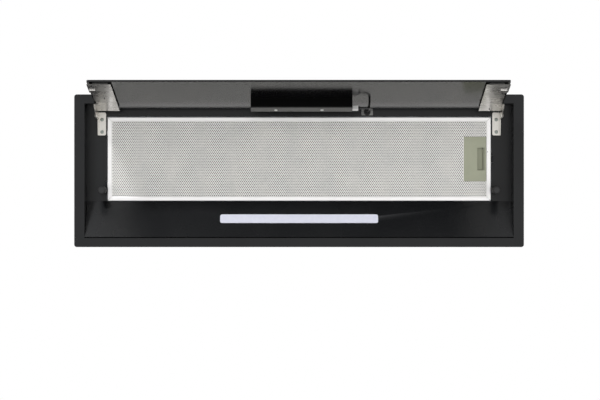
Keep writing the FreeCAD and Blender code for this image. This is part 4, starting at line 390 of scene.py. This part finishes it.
# Filter latch.
# A housing moulded from grey-green plastic snaps into the filter. A finger in its
# hollow pulls a darker slider with its bolt and cover plate against a leaf spring.

latch_grey = (0.56, 0.58, 0.43)
latch_shade = (0.51, 0.53, 0.39)
slider_grey = (0.40, 0.415, 0.30)
slider_shade = (0.36, 0.375, 0.27)
finger_plate_low = Vector((344.9, -44.3, 46.5)) * mm
finger_plate_high = Vector((354.3, -2.3, 47.05)) * mm


def moulded(name, colour, shade, rough, grain):
    """Moulded plastic, with a fine spark-eroded grain and a slightly uneven tone."""
    finish = new_finish(name, colour, rough)
    tint(finish, lay_pattern(finish, "Noise", 30), shade, colour)
    fine = lay_pattern(finish, "Noise", grain)
    dull(finish, fine, rough - 0.06, rough + 0.08)
    relief(finish, fine, 0.02 * mm, 0.4)
    return finish


def finger_plate():
    """The thin plate that the finger pulls, which covers the bolt's root."""
    shape = bmesh.new()
    size = finger_plate_high - finger_plate_low
    middle = Matrix.Translation((finger_plate_low + finger_plate_high) / 2)
    bmesh.ops.create_cube(shape, size=1, matrix=middle @ Matrix.Diagonal((*size, 1)))
    return mesh_from("latch_finger_plate", shape)


latch_plastic = moulded("latch_plastic", latch_grey, latch_shade, 0.48, 1500)
dress("latch_housing", latch_plastic, 0.5 * mm)
slider_plastic = moulded("slider_plastic", slider_grey, slider_shade, 0.52, 1500)
dress("latch_slider", slider_plastic, 0.3 * mm)
new_piece("latch_finger_plate", finger_plate(), slider_plastic, "latch")

# Spring steel: latch spring, and the keepers that hold the filter.
# The latch spring is a bright strip folded cold, which closes up as the latch goes
# back; the keepers are leaves of blued strip, riveted beside the opening.


def sheet_metal(name, colour, shade, rough, scale, grain, depth=0.008):
    """Bright metal with lines along one direction and a slightly uneven tone."""
    finish = new_finish(name, colour, rough, 1.0)
    lines = lay_pattern(finish, "Noise", scale, grain)
    tint(finish, lines, shade, colour, 0.25, 0.75)
    dull(finish, lay_pattern(finish, "Noise", 40), rough - 0.05, rough + 0.07)
    relief(finish, lines, depth * mm, 0.5)
    return finish


spring_steel = sheet_metal("spring_steel", (0.46, 0.47, 0.50), (0.36, 0.37, 0.40), 0.3, 500, (1, 12, 12))
spring_mesh = frame["nodes"]["latch_spring"].data.copy()
spring_piece = loose_piece("latch_spring_leaf", spring_mesh, spring_steel)
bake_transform(spring_piece)
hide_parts("latch_spring")
blue_black = (0.030, 0.031, 0.034)
blue_black_shade = (0.020, 0.021, 0.024)
blued_steel = sheet_metal("blued_steel", blue_black, blue_black_shade, 0.45, 500, (1, 12, 12))
dress("filter_keepers", blued_steel)

# Filter seat, plenum and motor casing.
# Boxes folded from galvanised sheet and screwed together through their feet; the
# zinc keeps its leafy spangle, and every fold has a small outside radius.

zinc_light = (0.56, 0.58, 0.60)
zinc_dark = (0.47, 0.49, 0.51)

galvanised = new_finish("galvanised", zinc_light, 0.42, 1.0)
spangle = lay_pattern(galvanised, "Voronoi", 105, output=1)
tint(galvanised, spangle, zinc_dark, zinc_light, 0.1, 0.9)
dull(galvanised, lay_pattern(galvanised, "Noise", 55), 0.5, 0.62)
relief(galvanised, lay_pattern(galvanised, "Noise", 240), 0.02 * mm, 0.35)
for node in ("filter_seat", "plenum_casing", "motor_casing"):
    dress(node, galvanised, 0.4 * mm)

# Corner laps of the two casings.
# Each casing is folded from one sheet; a narrow strip laps over every upright
# corner and is closed by a row of spot welds, which leave shallow round marks.

lap_width = 12.0 * mm
lap_gauge = 0.8 * mm
weld_radius = 2.6 * mm
weld_top = 0.7 * weld_radius
weld_height = 0.25 * mm
weld_pitch = 27.0 * mm
# half width, half depth, lowest and highest point of the laps
plenum_corners = (408.0 * mm, 127.0 * mm, 47.4 * mm, 135.2 * mm)
motor_corners = (186.0 * mm, 118.0 * mm, 137.4 * mm, 269.2 * mm)


def corner_laps():
    """The strips of both casings, each with its column of weld marks."""
    shape = bmesh.new()
    for half_width, half_depth, low, high in (plenum_corners, motor_corners):
        tall = high - low
        welds = int(tall / weld_pitch)
        for across, back in ((-1, -1), (-1, 1), (1, -1), (1, 1)):
            x = across * (half_width - lap_width / 2)
            y = back * (half_depth + lap_gauge / 2)
            middle = Matrix.Translation((x, y, (low + high) / 2))
            strip = middle @ Matrix.Diagonal((lap_width, lap_gauge, tall, 1))
            bmesh.ops.create_cube(shape, size=1, matrix=strip)
            turn = Matrix.Rotation(math.radians(-90 * back), 4, "X")
            outside = back * (half_depth + lap_gauge + weld_height / 2)
            for number in range(welds):
                z = low + (number + 0.5) * tall / welds
                place = Matrix.Translation((x, outside, z)) @ turn
                add_boss(shape, place, weld_radius, weld_top, weld_height)
    return mesh_from("casing_laps", shape)


new_piece("casing_laps", corner_laps(), galvanised, "hood")

# Outlet: spigot, damper rod and the two damper flaps.
# A collar moulded from grey plastic, screwed to the casing, with a steel rod
# across it on which two thin half discs swing open in the air stream.

grey_plastic = moulded("grey_plastic", (0.30, 0.31, 0.32), (0.26, 0.27, 0.28), 0.45, 1100)
dress("duct_spigot", grey_plastic, 0.5 * mm)
dress("damper_front", grey_plastic)
dress("damper_back", grey_plastic)

# Blower: scrolls, inlet rings, impeller and motor.
# Two moulded half scrolls with round inlets embrace a drum impeller of forward
# curved blades; its motor hangs on a steel bracket with rubber bushes.

black_plastic = moulded("black_plastic", (0.0022, 0.0022, 0.0023), (0.0014, 0.0014, 0.0015), 0.5, 1300)
black_plastic.node_tree.nodes["Principled BSDF"].inputs["Specular IOR Level"].default_value = 0.05
scroll_black = moulded("scroll_black", (0.022, 0.022, 0.024), (0.016, 0.016, 0.018), 0.5, 900)
motor_steel = sheet_metal("motor_steel", (0.42, 0.43, 0.45), (0.33, 0.34, 0.36), 0.38, 300, (10, 1, 1))
black_rubber = moulded("black_rubber", (0.014, 0.014, 0.014), (0.010, 0.010, 0.010), 0.72, 1800)
for node in ("scroll_left", "scroll_right", "inlet_ring_left", "inlet_ring_right", "fan_impeller"):
    dress(node, scroll_black)
for node in ("motor_rotor", "motor_stator", "motor_bracket", "damper_rod"):
    dress(node, motor_steel)
dress("motor_bushes", black_rubber)

# Electronics: box and lid, terminal block, cable gland and motor capacitor.
# The box is moulded from grey plastic and stands on the plenum; the lead from the
# wall would enter at its gland. Terminal block and capacitor are white plastic.

white_plastic = moulded("white_plastic", (0.66, 0.65, 0.62), (0.60, 0.59, 0.56), 0.4, 1200)
dress("electronics_box", grey_plastic, 0.5 * mm)
dress("electronics_lid", grey_plastic, 0.5 * mm)
dress("terminal_block", white_plastic, 0.3 * mm)
dress("mains_gland", black_plastic, 0.2 * mm)
dress("run_capacitor", white_plastic)

# Hinges of the flap.
# Each base is a strip of stainless steel with one ear turned down; a headed pin
# joins it to the ear of the flap's arm, and two pan-head screws hold it.

hinge_bright = (0.74, 0.715, 0.67)
hinge_shade = (0.56, 0.545, 0.51)
hinge_steel = sheet_metal("hinge_steel", hinge_bright, hinge_shade, 0.32, 420, (10, 0.5, 10), 0.004)
for node in ("hinge_base_left", "hinge_base_right"):
    dress(node, hinge_steel, 0.3 * mm)
for node in ("hinge_pin_left", "hinge_pin_right"):
    dress(node, hinge_steel, 0.25 * mm)

# Screws of the hinges, the casings, the spigot, the catches and the control lid:
# pan heads with a cross recess, rolled from steel. The hinge screws are a darker
# green-grey, partly their plate and partly painted shade; the lid screws have a
# bright plate, and the others are zinc plated.

head_radius = 3.4 * mm
head_height = 1.6 * mm
shank_radius = 1.6 * mm
shank_length = 6.0 * mm
recess_arm = 1.9 * mm
recess_half = 0.42 * mm
recess_depth = 1.0 * mm
recess_taper = 0.8
turn_points = 20
# share of the shank's radius, height above its tip
tip_outline = [(0.2, 0.0), (0.85, 1.2 * mm), (1.0, 1.6 * mm)]
# share of the head's radius, share of the head's height
head_outline = [(1.0, 0.0), (1.0, 0.45), (0.95, 0.7), (0.82, 0.88), (0.66, 0.96)]
# degrees by which the first cross is turned, and each next one further
first_spin = 12
further_spin = 37


def screw_shape():
    """One screw, its head's top at the origin and its shank running down."""
    shape = bmesh.new()

    def ring(radius, height):
        points = []
        for number in range(turn_points):
            angle = 2 * math.pi * number / turn_points
            x, y = radius * math.cos(angle), radius * math.sin(angle)
            points.append(shape.verts.new((x, y, height)))
        return points

    tip = -head_height - shank_length
    profile = [(share * shank_radius, tip + height) for share, height in tip_outline]
    profile.append((shank_radius, -head_height))
    for share, rise in head_outline:
        profile.append((share * head_radius, -head_height + rise * head_height))
    rings = [ring(radius, height) for radius, height in profile]
    for lower, upper in zip(rings, rings[1:]):
        join_rings(shape, lower, upper, smooth=True)
    shape.faces.new(rings[0][::-1])
    a, b = recess_arm, recess_half
    quarter = [(a, -b), (a, b), (b, b)]
    cross = []
    for turn in range(4):
        cross += quarter
        quarter = [(-y, x) for x, y in quarter]
    mouth = [shape.verts.new((x, y, 0)) for x, y in cross]
    floor = [shape.verts.new((x * recess_taper, y * recess_taper, -recess_depth)) for x, y in cross]
    edges = []
    for loop in (rings[-1], mouth):
        for number in range(len(loop)):
            pair = (loop[number], loop[(number + 1) % len(loop)])
            edges.append(shape.edges.get(pair) or shape.edges.new(pair))
    bmesh.ops.triangle_fill(shape, edges=edges, use_beauty=True, normal=(0, 0, 1))
    join_rings(shape, mouth, floor)
    shape.faces.new(floor)
    bmesh.ops.recalc_face_normals(shape, faces=shape.faces)
    return mesh_from("screw_shape", shape)


def screw_heads(node, out):
    """The middle of each screw head's top, in a node whose heads all face out."""
    shape = bmesh.new()
    shape.from_mesh(frame["nodes"][node].data)
    bmesh.ops.remove_doubles(shape, verts=shape.verts, dist=same_point)
    left = set(shape.verts)
    heads = []
    while left:
        island, edge = set(), [min(left, key=lambda point: point.index)]
        while edge:
            point = edge.pop()
            if point in island:
                continue
            island.add(point)
            edge += [link.other_vert(point) for link in point.link_edges]
        left -= island
        top = max(point.co.dot(out) for point in island)
        crown = [point.co for point in island if point.co.dot(out) > top - 2 * same_point]
        heads.append(sum(crown, Vector()) / len(crown))
    shape.free()
    return sorted(heads, key=lambda head: tuple(round(value, 5) for value in head))


def fit_screws(node, out, finish, body):
    """Puts a detailed screw in the place of each plain one."""
    out = Vector(out).normalized()
    shape = bmesh.new()
    turned = out.to_track_quat("Z", "Y").to_matrix().to_4x4()
    for number, head in enumerate(screw_heads(node, out)):
        spin = Matrix.Rotation(math.radians(further_spin * number + first_spin), 4, "Z")
        loose = screw_mesh.copy()
        loose.transform(Matrix.Translation(head) @ turned @ spin)
        shape.from_mesh(loose)
        bpy.data.meshes.remove(loose)
    name = node + "_turned"
    piece = new_piece(name, mesh_from(name, shape), finish, body)
    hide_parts(node)


screw_mesh = screw_shape()
zinc_screw = sheet_metal("zinc_screw", (0.62, 0.61, 0.56), (0.50, 0.50, 0.47), 0.32, 900, (1, 1, 1))
# hinge screws: darker green-grey, partly their plate and partly painted shade
bright_screw = sheet_metal("bright_screw", (0.34, 0.37, 0.34), (0.24, 0.27, 0.25), 0.28, 900, (1, 1, 1))
lid_screw = sheet_metal("lid_screw", (0.90, 0.90, 0.88), (0.80, 0.80, 0.78), 0.34, 900, (1, 1, 1))
flap_joint = next(joint for joint in frame["joints"] if joint["name"] == "flap_hinge")
flap_open = math.radians(-flap_joint["range_deg"][0])
flap_out = (0, math.sin(flap_open), math.cos(flap_open))
fit_screws("hinge_screws", (0, 0, -1), bright_screw, "hood")
fit_screws("lid_screws", flap_out, lid_screw, "flap")
fit_screws("casing_screws", (0, 0, 1), zinc_screw, "hood")
fit_screws("spigot_screws", (0, 0, 1), zinc_screw, "hood")
fit_screws("catch_screws", (0, 0, 1), zinc_screw, "hood")

# Magnet catches.
# A black rubber post hangs from the recess floor near each end of the shut flap,
# with a bare sintered magnet pressed into its tip.

magnet = moulded("magnet", (0.010, 0.010, 0.011), (0.006, 0.006, 0.007), 0.45, 700)
dress("catch_posts", black_rubber, 0.6 * mm)
dress("catch_magnets", magnet, 0.3 * mm)

# Flap: a pane of black tempered glass with a ground edge, bonded to two arms by
# dark grey pads. The arms are blanked from brushed stainless plate, with painted
# shade on their end faces towards the glass's free edge, where they stand off the glass.

glass_black = (0.0042, 0.0042, 0.0046)
glass_clean = (0.0036, 0.0036, 0.0040)
glass_smear = (0.0052, 0.0052, 0.0056)
arm_bright = (0.74, 0.72, 0.69)
arm_shade = (0.72, 0.70, 0.67)
# relief of the brushed plate in mm, which is polished nearly flat
arm_relief = 0.00002
# painted shade for the shadow where each arm's end stands off the glass
end_painted_shade = (0.10, 0.10, 0.095)


def paint_end_shade(finish, way, shade, start, end):
    """Paints shade on the faces that look one way, from a first to a full share of it."""
    nodes, links = finish.node_tree.nodes, finish.node_tree.links
    facing = nodes.new("ShaderNodeTexCoord")
    along = nodes.new("ShaderNodeVectorMath")
    along.operation = "DOT_PRODUCT"
    along.inputs[1].default_value = way
    shade_ramp = nodes.new("ShaderNodeValToRGB")
    clean, dark = shade_ramp.color_ramp.elements
    clean.position = start
    clean.color = (1, 1, 1, 1)
    dark.position = end
    dark.color = (*shade, 1)
    darkened = nodes.new("ShaderNodeMix")
    darkened.data_type = "RGBA"
    darkened.blend_type = "MULTIPLY"
    darkened.inputs["Factor"].default_value = 1
    colour = nodes["Principled BSDF"].inputs["Base Color"]
    links.new(facing.outputs["Normal"], along.inputs[0])
    links.new(along.outputs["Value"], shade_ramp.inputs["Fac"])
    links.new(colour.links[0].from_socket, darkened.inputs[mix_first])
    links.new(shade_ramp.outputs["Color"], darkened.inputs[mix_second])
    links.new(darkened.outputs[mix_out], colour)


black_glass = new_finish("black_glass", glass_black, 0.17)
smear = lay_pattern(black_glass, "Noise", 6)
tint(black_glass, smear, glass_clean, glass_smear)
dull(black_glass, smear, 0.15, 0.2)
black_glass.node_tree.nodes["Principled BSDF"].inputs["IOR"].default_value = 1.4
dress("flap_glass", black_glass, 0.15 * mm)

stainless = sheet_metal("stainless", arm_bright, arm_shade, 0.27, 300, (3, 0.08, 0.08), arm_relief)
flap_free_end = (0, math.cos(flap_open), -math.sin(flap_open))
# painted shade on the arms' end faces towards the flap's free edge
paint_end_shade(stainless, flap_free_end, end_painted_shade, 0.55, 0.9)
for node in ("flap_arm_left", "flap_arm_right"):
    dress(node, stainless, 0.2 * mm)
bond_grey = moulded("bond_grey", (0.085, 0.085, 0.082), (0.07, 0.07, 0.068), 0.6, 1500)
dress("arm_pads", bond_grey, 0.2 * mm)

# Bent tongues of the flap's arms.
# Beside each arm's relief slot a narrow tongue of the same plate is cut free and
# bent up square; its steel is coloured brighter than the arm's, a painted highlight
# that makes its edge shine white when the flap hangs open.

# on the shut flap, in mm from the hinge: distance toward the free edge, height
tongue_outline = [
    (155.2, -7.3), (155.2, -6.6), (155.35, -6.2), (155.6, -6.0), (156.0, -6.0), (156.0, -6.8),
    (156.2, -7.3),
]
tongue_top = -6.0
tongue_ends = ((-387.3, -376.2), (373.4, 385.6))
end_chamfer = 0.5
end_drop = 0.25
# brighter than the arm's plate that the tongue is cut from: a painted highlight
tongue_painted_highlight = (0.90, 0.89, 0.87)
tongue_highlight_shade = (0.82, 0.81, 0.79)
flap_hung = Matrix.Translation(flap_joint["pos_m"]) @ Matrix.Rotation(-flap_open, 4, "X")


def bent_tongue(name, left, right):
    """A strip with a small bend, drawn on the shut flap and hung open with it."""
    shape = bmesh.new()
    rings = []
    for across in (left, left + end_chamfer, right - end_chamfer, right):
        top = tongue_top - end_drop if across in (left, right) else tongue_top
        ring = []
        for along, height in tongue_outline:
            place = Vector((across, along, min(height, top))) * mm
            ring.append(shape.verts.new(flap_hung @ place))
        rings.append(ring)
    for first, second in zip(rings, rings[1:]):
        join_rings(shape, first, second)
    shape.faces.new(rings[0][::-1])
    shape.faces.new(rings[-1])
    bmesh.ops.recalc_face_normals(shape, faces=shape.faces)
    return mesh_from(name, shape)


tongue_highlight_steel = sheet_metal("tongue_highlight_steel", tongue_painted_highlight, tongue_highlight_shade, 0.3, 420, (14, 14, 0.35), 0.003)
for side, (left, right) in zip(("left", "right"), tongue_ends):
    name = "arm_tongue_" + side
    tongue = new_piece(name, bent_tongue(name, left, right), tongue_highlight_steel, "flap")

# Rivets of the flap's arms.
# One small steel rivet with a dark head holds each arm to its pad while the
# bond sets; its head stands proud of the plate.

# the arm's face on the shut flap, above the hinge's line
arm_face = -7.6 * mm
arm_rivet_places = ((-364.9 * mm, 94.0 * mm), (364.0 * mm, 17.0 * mm))
arm_rivet_radius = 0.95 * mm
arm_rivet_top = 0.8 * arm_rivet_radius
arm_rivet_height = 1.4 * mm
arm_rivet_sunk = 0.1 * mm


def arm_rivets():
    """Both rivet heads, drawn on the shut flap and hung open with it."""
    shape = bmesh.new()
    middle = arm_face - arm_rivet_sunk + arm_rivet_height / 2
    for across, along in arm_rivet_places:
        place = flap_hung @ Matrix.Translation((across, along, middle))
        add_boss(shape, place, arm_rivet_radius, arm_rivet_top, arm_rivet_height)
    return mesh_from("arm_rivets", shape)


new_piece("arm_rivets", arm_rivets(), blued_steel, "flap")

# Control box on the flap.
# A black case bonded to the glass behind the touch keys, closed by a grey lid
# with two bright screws, and a white connector with its black sleeve at one end.

lid_grey = moulded("lid_grey", (0.075, 0.075, 0.072), (0.062, 0.062, 0.06), 0.4, 1300)
dress("control_case", black_plastic, 0.4 * mm)
dress("control_lid", lid_grey, 0.3 * mm)
connector_white = moulded("connector_white", (0.88, 0.88, 0.87), (0.82, 0.82, 0.81), 0.35, 1200)
dress("flap_connector", connector_white, 0.3 * mm)
dress("connector_sleeve", black_rubber, 0.2 * mm)

# Flap cable, with its grommet and clip.
# A limp round cable in a glossy black jacket leaves the sleeve, makes one loop
# round the open hinge line and goes up through a grommet in the recess floor.

cable_radius = 2.0 * mm
cable_route = [
    (116.0, -117.67, -46.68), (123.4, -117.67, -46.68), (130.1, -117.77, -42.78),
    (133.9, -117.97, -36.08), (134.4, -118.2, -23.0), (134.9, -118.2, -5.0),
    (134.2, -117.3, 13.0), (132.6, -115.6, 28.0), (131.5, -114.2, 38.0), (131.5, -114.2, 46.4),
]


def cable_mesh():
    """The jacket as a tube along one smooth curve through the hinge's side."""
    line = bpy.data.curves.new("flap_cable_line", "CURVE")
    line.dimensions = "3D"
    line.bevel_depth = cable_radius
    line.bevel_resolution = 5
    line.resolution_u = 10
    line.use_fill_caps = True
    course = line.splines.new("NURBS")
    course.points.add(len(cable_route) - 1)
    for point, place in zip(course.points, cable_route):
        point.co = (*(value * mm for value in place), 1)
    course.order_u = 3
    course.use_endpoint_u = True
    holder = bpy.data.objects.new("flap_cable_line", line)
    bpy.context.scene.collection.objects.link(holder)
    bpy.context.view_layer.update()
    mesh = bpy.data.meshes.new_from_object(holder)
    bpy.data.objects.remove(holder)
    return mesh


clip_steel = sheet_metal("clip_steel", (0.26, 0.26, 0.25), (0.10, 0.10, 0.10), 0.3, 300, (1, 1, 1))
cable_jacket = moulded("cable_jacket", (0.012, 0.012, 0.013), (0.008, 0.008, 0.009), 0.24, 1400)
cable_piece = loose_piece("flap_cable_run", cable_mesh(), cable_jacket)
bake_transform(cable_piece)
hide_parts("flap_cable")
dress("cable_grommet", black_rubber, 0.2 * mm)
dress("cable_clip", clip_steel, 0.15 * mm)

# The room: a pale floor far below, soft lamps, and the camera under the hood.
# The hood hangs at its height and is seen straight from below. Nothing here
# belongs to the hood.

floor_height = -4.5
floor_half = 16.0
backdrop_light = 1.0
room_light = 0.74
floor_grey = 0.8
floor_glow = 0.32


def seen_or_mirrored(nodes, links):
    """1 for rays that see the backdrop, directly or in glass and metal."""
    path = nodes.new("ShaderNodeLightPath")
    highest = path.outputs["Is Camera Ray"]
    for name in ("Is Glossy Ray", "Is Transmission Ray"):
        either = nodes.new("ShaderNodeMath")
        either.operation = "MAXIMUM"
        links.new(highest, either.inputs[0])
        links.new(path.outputs[name], either.inputs[1])
        highest = either.outputs[0]
    return highest


world = bpy.data.worlds.new("pale_room")
bpy.context.scene.world = world
world.use_nodes = True
sky_nodes, sky_links = world.node_tree.nodes, world.node_tree.links
sky = sky_nodes["Background"]
sky.inputs["Color"].default_value = (1, 1, 1, 1)
level = sky_nodes.new("ShaderNodeMapRange")
level.inputs["To Min"].default_value = room_light
level.inputs["To Max"].default_value = backdrop_light
sky_links.new(seen_or_mirrored(sky_nodes, sky_links), level.inputs["Value"])
sky_links.new(level.outputs["Result"], sky.inputs["Strength"])

floor_mesh = bpy.data.meshes.new("room_floor")
corner_ways = ((-1, -1), (1, -1), (1, 1), (-1, 1))
floor_corners = [(x * floor_half, y * floor_half, floor_height) for x, y in corner_ways]
floor_mesh.from_pydata(floor_corners, [], [(0, 1, 2, 3)])
pale_floor = bpy.data.materials.new("pale_floor")
pale_floor.use_nodes = True
floor_nodes, floor_links = pale_floor.node_tree.nodes, pale_floor.node_tree.links
floor_shader = floor_nodes["Principled BSDF"]
floor_shader.inputs["Base Color"].default_value = (floor_grey, floor_grey, floor_grey, 1)
floor_shader.inputs["Roughness"].default_value = 0.9
floor_shader.inputs["Specular IOR Level"].default_value = 0
floor_shader.inputs["Emission Color"].default_value = (1, 1, 1, 1)
lift = floor_nodes.new("ShaderNodeMapRange")
lift.inputs["To Max"].default_value = floor_glow
floor_links.new(seen_or_mirrored(floor_nodes, floor_links), lift.inputs["Value"])
floor_links.new(lift.outputs["Result"], floor_shader.inputs["Emission Strength"])
floor_mesh.materials.append(pale_floor)
floor_piece = bpy.data.objects.new("room_floor", floor_mesh)
bpy.context.scene.collection.objects.link(floor_piece)


def soft_lamp(name, place, aim, width, power, colour=(1, 1, 1)):
    """A large soft lamp that the camera doesn't see."""
    lamp = bpy.data.lights.new(name, "AREA")
    lamp.shape = "SQUARE"
    lamp.size = width
    lamp.energy = power
    lamp.color = colour
    holder = bpy.data.objects.new(name, lamp)
    holder.location = place
    holder.rotation_euler = (Vector(aim) - Vector(place)).to_track_quat("-Z", "Y").to_euler()
    holder.visible_camera = False
    bpy.context.scene.collection.objects.link(holder)


soft_lamp("lamp_below_left", (-1.34, -2.79, -2.62), (0, 0, 0), 0.42, 84, (0.96, 0.975, 1.0))
soft_lamp("lamp_below_right", (2.6, 0.8, -3.6), (0, 0, 0), 2.6, 20, (1.0, 0.985, 0.96))
soft_lamp("lamp_above_front", (-1.8, -3.2, 3.4), (0, 0, 0.1), 2.8, 28)
soft_lamp("lamp_above_back", (2.4, 2.8, 3.2), (0, 0, 0.1), 2.8, 28)

camera = bpy.data.cameras.new("camera_below")
camera.lens = 125.5
camera.sensor_width = 36
camera.shift_x = -0.015
camera.clip_end = 60
camera_place = bpy.data.objects.new("camera_below", camera)
camera_place.location = (0.019, 0.056, -4.002)
camera_place.rotation_euler = (math.pi, 0, 0)
bpy.context.scene.collection.objects.link(camera_place)
bpy.context.scene.camera = camera_place
bpy.context.scene.view_settings.view_transform = "Standard"
